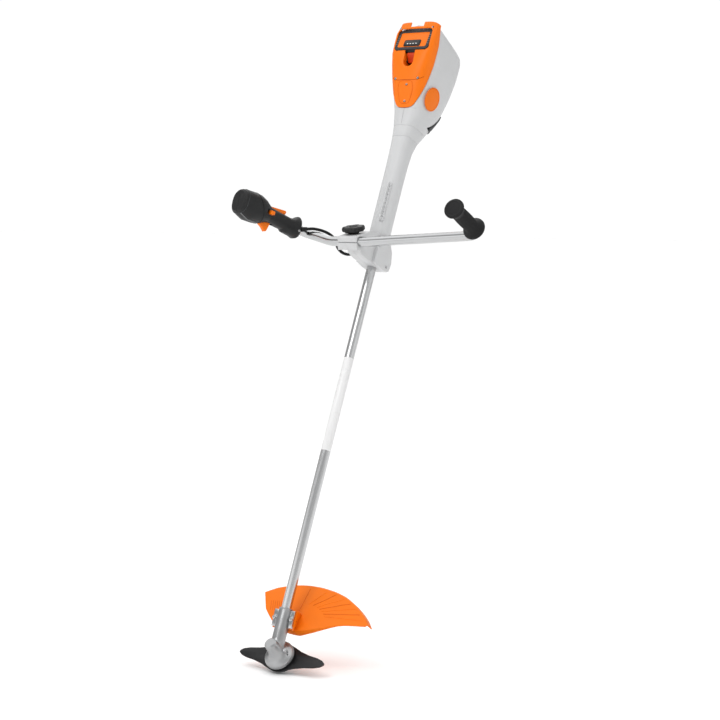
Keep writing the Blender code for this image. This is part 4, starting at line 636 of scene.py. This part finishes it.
def camera():
    right, up, back = GEAR_CENTRE_SEEN
    gear_centre = MACHINE @ Vector((0, 0, 0))
    place = gear_centre - (RIGHT * right + UP * up + BACK * back)
    made = bpy.data.objects.new("camera", bpy.data.cameras.new("camera"))
    made.data.lens = FOCAL_LENGTH
    made.data.sensor_width = SENSOR_WIDTH
    made.data.clip_end = VIEW_LIMIT
    made.matrix_world = (Matrix.Translation(place)
                         @ Matrix((RIGHT, UP, BACK)).transposed().to_4x4())
    bpy.context.scene.collection.objects.link(made)
    bpy.context.scene.camera = made


def studio_lights():
    world = bpy.data.worlds.new("studio")
    bpy.context.scene.world = world
    world.use_nodes = True
    studio_walls(world.node_tree)
    bpy.context.scene.view_settings.view_transform = "Standard"
    middle = (CAD_BOX[0] + CAD_BOX[1]) / 2
    ahead_way = Vector((BACK.x, BACK.y, 0))
    for name, side, ahead, high, size, power in LIGHTS:
        data = bpy.data.lights.new(name, "AREA")
        data.size = size
        data.energy = power
        light = bpy.data.objects.new(name, data)
        light.location = middle + RIGHT * side + ahead_way * ahead + Vector((0, 0, high))
        aim = (middle - light.location).normalized()
        light.rotation_euler = (-aim).to_track_quat("Z", "Y").to_euler()
        bpy.context.scene.collection.objects.link(light)


def studio_floor():
    bm = bmesh.new()
    for x, y in ((-1, -1), (1, -1), (1, 1), (-1, 1)):
        bm.verts.new((x * FLOOR_HALF, y * FLOOR_HALF, CAD_BOX[0].z - FLOOR_GAP))
    bm.faces.new(bm.verts)
    mesh = bpy.data.meshes.new("floor")
    bm.to_mesh(mesh)
    bm.free()
    floor = bpy.data.objects.new("floor", mesh)
    bpy.context.scene.collection.objects.link(floor)
    material = bpy.data.materials.new("pale_floor")
    material.use_nodes = True
    shader = material.node_tree.nodes["Principled BSDF"]
    shader.inputs["Base Color"].default_value = (1, 1, 1, 1)
    shader.inputs["Roughness"].default_value = 0.6
    mesh.materials.append(material)


# ---- cable ----------------------------------------------------------------------------
CABLE_ROUTE = [(-139, -153, 1078), (-128, -143, 1084), (-113, -131, 1089), (-93, -114, 1089),
               (-78, -99, 1083), (-70, -90, 1071), (-62, -83, 1057), (-50, -78, 1047),
               (-36, -71, 1044), (-24, -63, 1050), (-14, -57, 1056)]
CABLE_STEP = 0.8                     # millimetres between the sleeve's rings
RINGS_A_RIB = 4
SLEEVE_RADIUS, RIB_DEPTH = 3.95, 0.45


def smooth_path(points, step):
    points = [Vector(point) for point in points]
    ends = [points[0] * 2 - points[1]] + points + [points[-1] * 2 - points[-2]]
    path = []
    for a, b, c, d in zip(ends, ends[1:], ends[2:], ends[3:]):
        count = max(1, round((c - b).length / step))
        for i in range(count):
            path.append(curve_point(a, b, c, d, i / count))
    path.append(points[-1])
    return path


def control_cable():
    """The corrugated sleeve of the cable from the control handle to the bracket."""
    path = [MACHINE @ (point * MM) for point in smooth_path(CABLE_ROUTE, CABLE_STEP)]
    radii = [(SLEEVE_RADIUS + RIB_DEPTH * math.cos(2 * math.pi * i / RINGS_A_RIB)) * MM
             for i in range(len(path))]
    sleeve = tube("cable_sleeve", path, radii, RUBBER, None, 16)
    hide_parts("control_cable")
    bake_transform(sleeve)
    band("cable_boot_handle",
         [(4.5, -2), (6.6, -2), (6.6, 3), (6, 4), (5.6, 9), (5, 14), (4.5, 14)],
         facing(path[0], (path[8] - path[0]).normalized()), RUBBER, "handlebar", 24)


# ---- head: cap, battery, badge --------------------------------------------------------
TONGUE = [(0, 1557.5), (14, 1557.5), (20.5, 1554), (23, 1545), (23, 1535), (20.8, 1523), (17, 1510),
          (13, 1502), (7, 1499), (0, 1498.7)]
TONGUE_MIDDLE = 1528
TONGUE_PROUD = 0.6
CAP_SCREW_REACH = 4.4                # from the middle of the screw to the skin in front
SCOOP_HALF = 15.9
SCOOP_CENTRE = 1612
SCOOP_TOP = 1637
SCOOP_WALL = 0.8
SCOOP_BACK = -38
SCOOP_FRONT, SCOOP_FRONT_AT, SCOOP_SLOPE = -66.3, 1596, 0.11
SCOOP_RISE = 0.92                    # how far its floor comes up by its back


def mirrored(half):
    """A closed outline from its left half, which runs down from the middle."""
    return half + [(-x, z) for x, z in half[-2:0:-1]]


CURVE_STEPS = 4


def rounded_off(outline):
    """A smooth closed curve through the outline's points."""
    flat = [Vector((x, z)) for x, z in outline]
    count = len(flat)
    curve = []
    for i in range(count):
        a, b, c, d = (flat[(i + k) % count] for k in (-1, 0, 1, 2))
        for step in range(CURVE_STEPS):
            point = curve_point(a, b, c, d, step / CURVE_STEPS)
            curve.append((point.x, point.y))
    return curve


def thumb_scoop():
    """The concave lining of the U under the battery, behind which the lever stands."""
    def curve(half):
        arc = [(half * math.cos(math.radians(a)), SCOOP_CENTRE + half * math.sin(math.radians(a)))
               for a in range(180, 361, 12)]
        return [(-half, SCOOP_TOP)] + arc + [(half, SCOOP_TOP)]

    bm = bmesh.new()
    rings = []
    for share in (0, 0.12, 0.3, 0.5, 0.75, 1):
        ring = []
        for half, flip in ((SCOOP_HALF - SCOOP_WALL, 1), (SCOOP_HALF, -1)):
            for x, z in curve(half)[::flip]:
                front = SCOOP_FRONT - (z - SCOOP_FRONT_AT) * SCOOP_SLOPE
                y = front + (SCOOP_BACK - front) * share
                if z < SCOOP_CENTRE:
                    z = SCOOP_CENTRE + (z - SCOOP_CENTRE) * (1 - SCOOP_RISE * share ** 1.4)
                ring.append(Vector((x, y, z)) * MM)
        rings.append(ring)
    lofted(bm, rings)
    piece_from(bm, "thumb_scoop_lining", MACHINE, ORANGE, "machine")


def cap_details():
    """The tongue, the step above it, the cap's screws, the scoop and the shells' seam."""
    outline = rounded_off(mirrored(TONGUE))
    # the groove round the tongue is darker orange: painted shade
    front_line("tongue_groove", outline + outline[:1], 0.55, ORANGE_PAINTED_SHADE)
    inner = [(x * 0.93, TONGUE_MIDDLE + (z - TONGUE_MIDDLE) * 0.955) for x, z in outline]
    front_panel("tongue_panel", inner, TONGUE_PROUD, 1.0, ORANGE, 0.4)
    step = [(-50, 1572), (-40, 1564.5), (-26, 1560.5), (26, 1560.5), (40, 1564.5), (50, 1572)]
    # the step's groove is dark orange: painted shade
    front_line("cap_step_groove", step, 0.7, ORANGE_GROOVE_SHADE)
    for name, x, z in (("tongue_screw_top", 4, 1549), ("tongue_screw_bottom", 1, 1506)):
        recessed_screw(name, on_front(x, z, TONGUE_PROUD), TO_FRONT, 2.7)
    for side, label in ((-1, "right"), (1, "left")):
        place = on_front(50 * side, 1712, 0.1)
        if place:
            recessed_screw("rim_screw_" + label, place, TO_FRONT, 2.3)
        low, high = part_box("cap_screw_" + label)
        centre = (low + high) / 2
        recessed_screw("cap_screw_head_" + label, centre + TO_FRONT * CAP_SCREW_REACH * MM,
                       TO_FRONT, 2.9)
    thumb_scoop()
    front_line("housing_seam", [(0.4, 1485), (0.4, 1446)], 0.3, GREY_SEAM_AND_GROOVE_SHADE)


DISPLAY_PLACE = (0, -12)
LAMP_PITCH, FIRST_LAMP, LAMP_HEIGHT = 9, -13.5, -14.5
RIB_PITCH, FIRST_RIB, RIB_SIDE = 7, -14, 48.6


def battery_details():
    """The display window with its four lamps, and the finger ribs at the face's sides."""
    face_plate("battery_display_bezel", rounded(52, 21, 4), -2.3, -0.5, DISPLAY_PLACE, BLACK,
               0.5)
    face_plate("battery_display_window", rounded(46, 15.5, 2.5), -2.7, -0.6, DISPLAY_PLACE,
               GLASS_BLACK, 0.3)
    for i in range(4):
        face_plate("battery_lamp_%d" % (i + 1), rounded(5, 2.4, 1), -2.95, -1,
                   (FIRST_LAMP + LAMP_PITCH * i, LAMP_HEIGHT), LAMP)
    for side, label in ((-1, "right"), (1, "left")):
        for i in range(5):
            face_plate("battery_rib_%s_%d" % (label, i + 1), rounded(5.5, 2.2, 1), -1.9, -0.4,
                       (RIB_SIDE * side, FIRST_RIB + RIB_PITCH * i), MID_GREY)


def badge_ring():
    """The raised rim and the groove round the blank badge."""
    low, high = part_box("badge_disc")
    mesh = NODES["badge_disc"].data
    outer = max(mesh.polygons, key=lambda face: (face.area, face.normal.x))
    normal = outer.normal if outer.normal.x > 0 else -outer.normal
    matrix = facing((low + high) / 2, normal)
    rim = [(30.4, 0.2), (32.3, 0.2), (32.3, 0.9), (31.6, 1.3), (30.8, 1.2), (30.4, 0.8)]
    band("badge_rim", rim, matrix, ORANGE, "machine", 64)
    groove = [(29.7, 0.3), (30.3, 0.3), (30.3, 0.7), (29.7, 0.7)]
    # the groove round the badge is darker orange: painted shade
    band("badge_groove", groove, matrix, ORANGE_PAINTED_SHADE, "machine", 56)


# ---- shaft ----------------------------------------------------------------------------
def shaft_details():
    """The plain white band round the tube."""
    film = [(12.75, 526), (12.95, 526.4), (12.95, 779.6), (12.75, 780)]
    band("blank_label", film, MACHINE, WHITE_FILM, "machine", 48)


# ---- hand grips -----------------------------------------------------------------------
RIBS, FIRST_RIB_AT, RIB_SPACING = 13, 22, 6.0
RIB_ROOT, RIB_SWELL = 17.3, 0.9      # radius between the ribs, and what the grip swells by


def left_grip():
    """The ribbed rubber grip with its flange and mushroom end."""
    profile = [(13, 0), (28.2, 0), (29, 1.6), (28.6, 4.5), (25, 9.5), (21.6, 13.5), (19.4, 18)]
    for i in range(RIBS):
        z = FIRST_RIB_AT + i * RIB_SPACING
        swell = RIB_ROOT + RIB_SWELL * math.sin(math.pi * i / (RIBS - 1))
        profile += [(swell, z), (swell + 1.0, z + 0.9), (swell + 1.1, z + 2.2),
                    (swell + 0.9, z + 3.4), (swell, z + 4.4)]
    profile += [(18.2, 103), (18.9, 108), (21.2, 113.5), (24.4, 118.5), (25.9, 121.5), (25.9, 124),
                (24.6, 126), (20, 127.4), (12, 128.2), (0.3, 128.4)]
    grip = turned("ribbed_grip", profile, LEFT_HAND, RUBBER, "handlebar", 56)
    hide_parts("left_grip")
    groove = [(19.2, 126.9), (20.6, 126.7), (20.6, 127.7), (19.2, 128)]
    band("grip_end_groove", groove, LEFT_HAND, BLACK, "handlebar", 48)


# along the control handle from its lower end, in millimetres
CAP_SEAM_AT, CAP_SEAM_LEAN = 203, 3.5
SHOULDER_AT, SHOULDER_RISE, SHOULDER_DROP = 148, 20, 9
LIP_START, LIP_END, LIP_SIDE = 150, 207, 9
HANDLE_REACH = 80                    # outside all of the handle
AROUND = range(183, 544, 6)          # degrees


def on_handle(tree, angle, z, proud):
    """The point of the control handle's skin at an angle round its axis, and the way out."""
    out = Vector((math.cos(math.radians(angle)), math.sin(math.radians(angle)), 0))
    start = RIGHT_HAND @ ((out * HANDLE_REACH + Vector((0, 0, z))) * MM)
    aim = (RIGHT_HAND.to_3x3() @ -out).normalized()
    hit, normal, _, _ = tree.ray_cast(start, aim)
    if normal.dot(aim) > 0:
        normal = -normal
    return hit + normal * proud * MM, normal


def control_handle():
    """The seam of the head's end cap, the shoulder, the lip painted mid-grey as a highlight, and
    the clamp screw.
    """
    tree = surface_of("control_handle_left", "control_handle_right")
    seam, shoulder, lip = [], [], []
    for angle in AROUND:
        rise = math.sin(math.radians(angle))
        seam.append(on_handle(tree, angle, CAP_SEAM_AT - CAP_SEAM_LEAN * rise, 0)[0])
        z = SHOULDER_AT + (SHOULDER_RISE * rise ** 1.5 if rise > 0 else SHOULDER_DROP * rise)
        shoulder.append(on_handle(tree, angle, z, 0.1)[0])
    for z in range(LIP_START, LIP_END, 4):
        start = RIGHT_HAND @ (Vector((LIP_SIDE, -90, z)) * MM)
        hit = tree.ray_cast(start, RIGHT_HAND.to_3x3() @ Vector((0, 1, 0)))[0]
        if hit:
            lip.append(hit)
    tube("head_cap_seam", seam, 0.8 * MM, DARK_GREY, "handlebar", 8)
    tube("head_shoulder", shoulder, 1.1 * MM, BLACK, "handlebar", 8)
    # the lip's mid-grey is a painted highlight along the lower edge of the head
    tube("head_lip", lip, 1.9 * MM, MID_GREY, "handlebar", 10)
    place, normal = on_handle(tree, -24, 7.4, 0.05)
    lobed_screw("handle_clamp_screw", place, normal, 2.8, "handlebar")


KNOB_TOP = (0, 20, 36.3)


def clamp_knob():
    """The moulded ring and the cap over the screw, on top of the knob."""
    top = CLAMP @ Matrix.Translation(Vector(KNOB_TOP) * MM)
    ring = [(9.5, -0.4), (11.5, -0.4), (11.5, 0.9), (11, 1.3), (10, 1.3), (9.5, 0.9)]
    band("knob_ring", ring, top, BLACK, "knob", 40)
    cap = [(8, -0.4), (8, 0.7), (7.4, 1.3), (4.6, 1.5), (3.8, 0.8), (0.4, 0.7)]
    turned("knob_screw_cap", cap, top, DARK_GREY, "knob", 32)


# ---- guard ----------------------------------------------------------------------------
# across the guard's roof, from the spindle's axis in millimetres
GUARD_FOCUS = (2, 113)
GUARD_RAYS = [(62, 193), (96, 189), (126, 180), (151, 169), (173, 156), (192, 140), (206, 124)]


RAY_START, RAY_END = 0.42, 0.96      # shares of the way from the focus
GUARD_FOLD = ((9, 122), (7, 193))
ROOF_RIBS, FIRST_ROOF_RIB, ROOF_RIB_PITCH = 6, (-46, 116), 7
ROOF_RIB_RUN = (-14, 30)
LINE_POINTS = 40
ABOVE_GUARD = 60


def guard_details():
    """The rays pressed into the roof, the fold over the bracket, and the roof's ribs."""
    tree = surface_of("guard")
    down = SPINDLE.to_3x3() @ Vector((0, 0, -1))

    def line(name, start, end, radius, material):
        path = []
        for i in range(LINE_POINTS + 1):
            share = i / LINE_POINTS
            x, y = (a + (b - a) * share for a, b in zip(start, end))
            hit = tree.ray_cast(SPINDLE @ (Vector((x, y, ABOVE_GUARD)) * MM), down)[0]
            if hit:
                path.append(hit)
        if len(path) > 2:
            tube(name, path, radius * MM, material, "machine", 8)

    u, v = GUARD_FOCUS
    for i, (x, y) in enumerate(GUARD_RAYS):
        start, end = ((u + (x - u) * share, v + (y - v) * share)
                      for share in (RAY_START, RAY_END))
        # every other ray is darker orange, painted shade, beside a ray in the guard's own orange
        line("guard_ray_%d" % (i + 1), start, end, 0.8, ORANGE_PAINTED_SHADE if i % 2 else GUARD_ORANGE)
    # the fold and the roof's ribs are darker orange: painted shade in the creases
    line("guard_fold", *GUARD_FOLD, 0.7, ORANGE_PAINTED_SHADE)
    for i in range(ROOF_RIBS):
        x, y = FIRST_ROOF_RIB[0] - ROOF_RIB_PITCH * i, FIRST_ROOF_RIB[1]
        line("guard_rib_%d" % (i + 1), (x, y), (x + ROOF_RIB_RUN[0], y + ROOF_RIB_RUN[1]), 0.6,
             ORANGE_PAINTED_SHADE)


# ---- gear head ------------------------------------------------------------------------
DISH_GROOVES = (("dish_groove_low", 39.6, -22.5), ("dish_groove_high", 39.3, -18.5))
GROOVE_HALF = 0.45


def gear_head_details():
    """Two turned lines round the dish over the blade."""
    for name, radius, height in DISH_GROOVES:
        low, high = height - GROOVE_HALF, height + GROOVE_HALF
        inner, outer = radius - 0.6, radius + 0.15
        # the grooves are painted darker grey: painted shade
        band(name, [(inner, low), (outer, low), (outer, high), (inner, high)], SPINDLE,
             GREY_SEAM_AND_GROOVE_SHADE, "machine", 64)


def dress_machine():
    """The studio, and then the machine from its cable to its guard."""
    camera()
    studio_lights()
    studio_floor()
    control_cable()
    dress_frame()
    cap_details()
    battery_details()
    badge_ring()
    shaft_details()
    left_grip()
    control_handle()
    clamp_knob()
    gear_head_details()
    guard_details()


dress_machine()
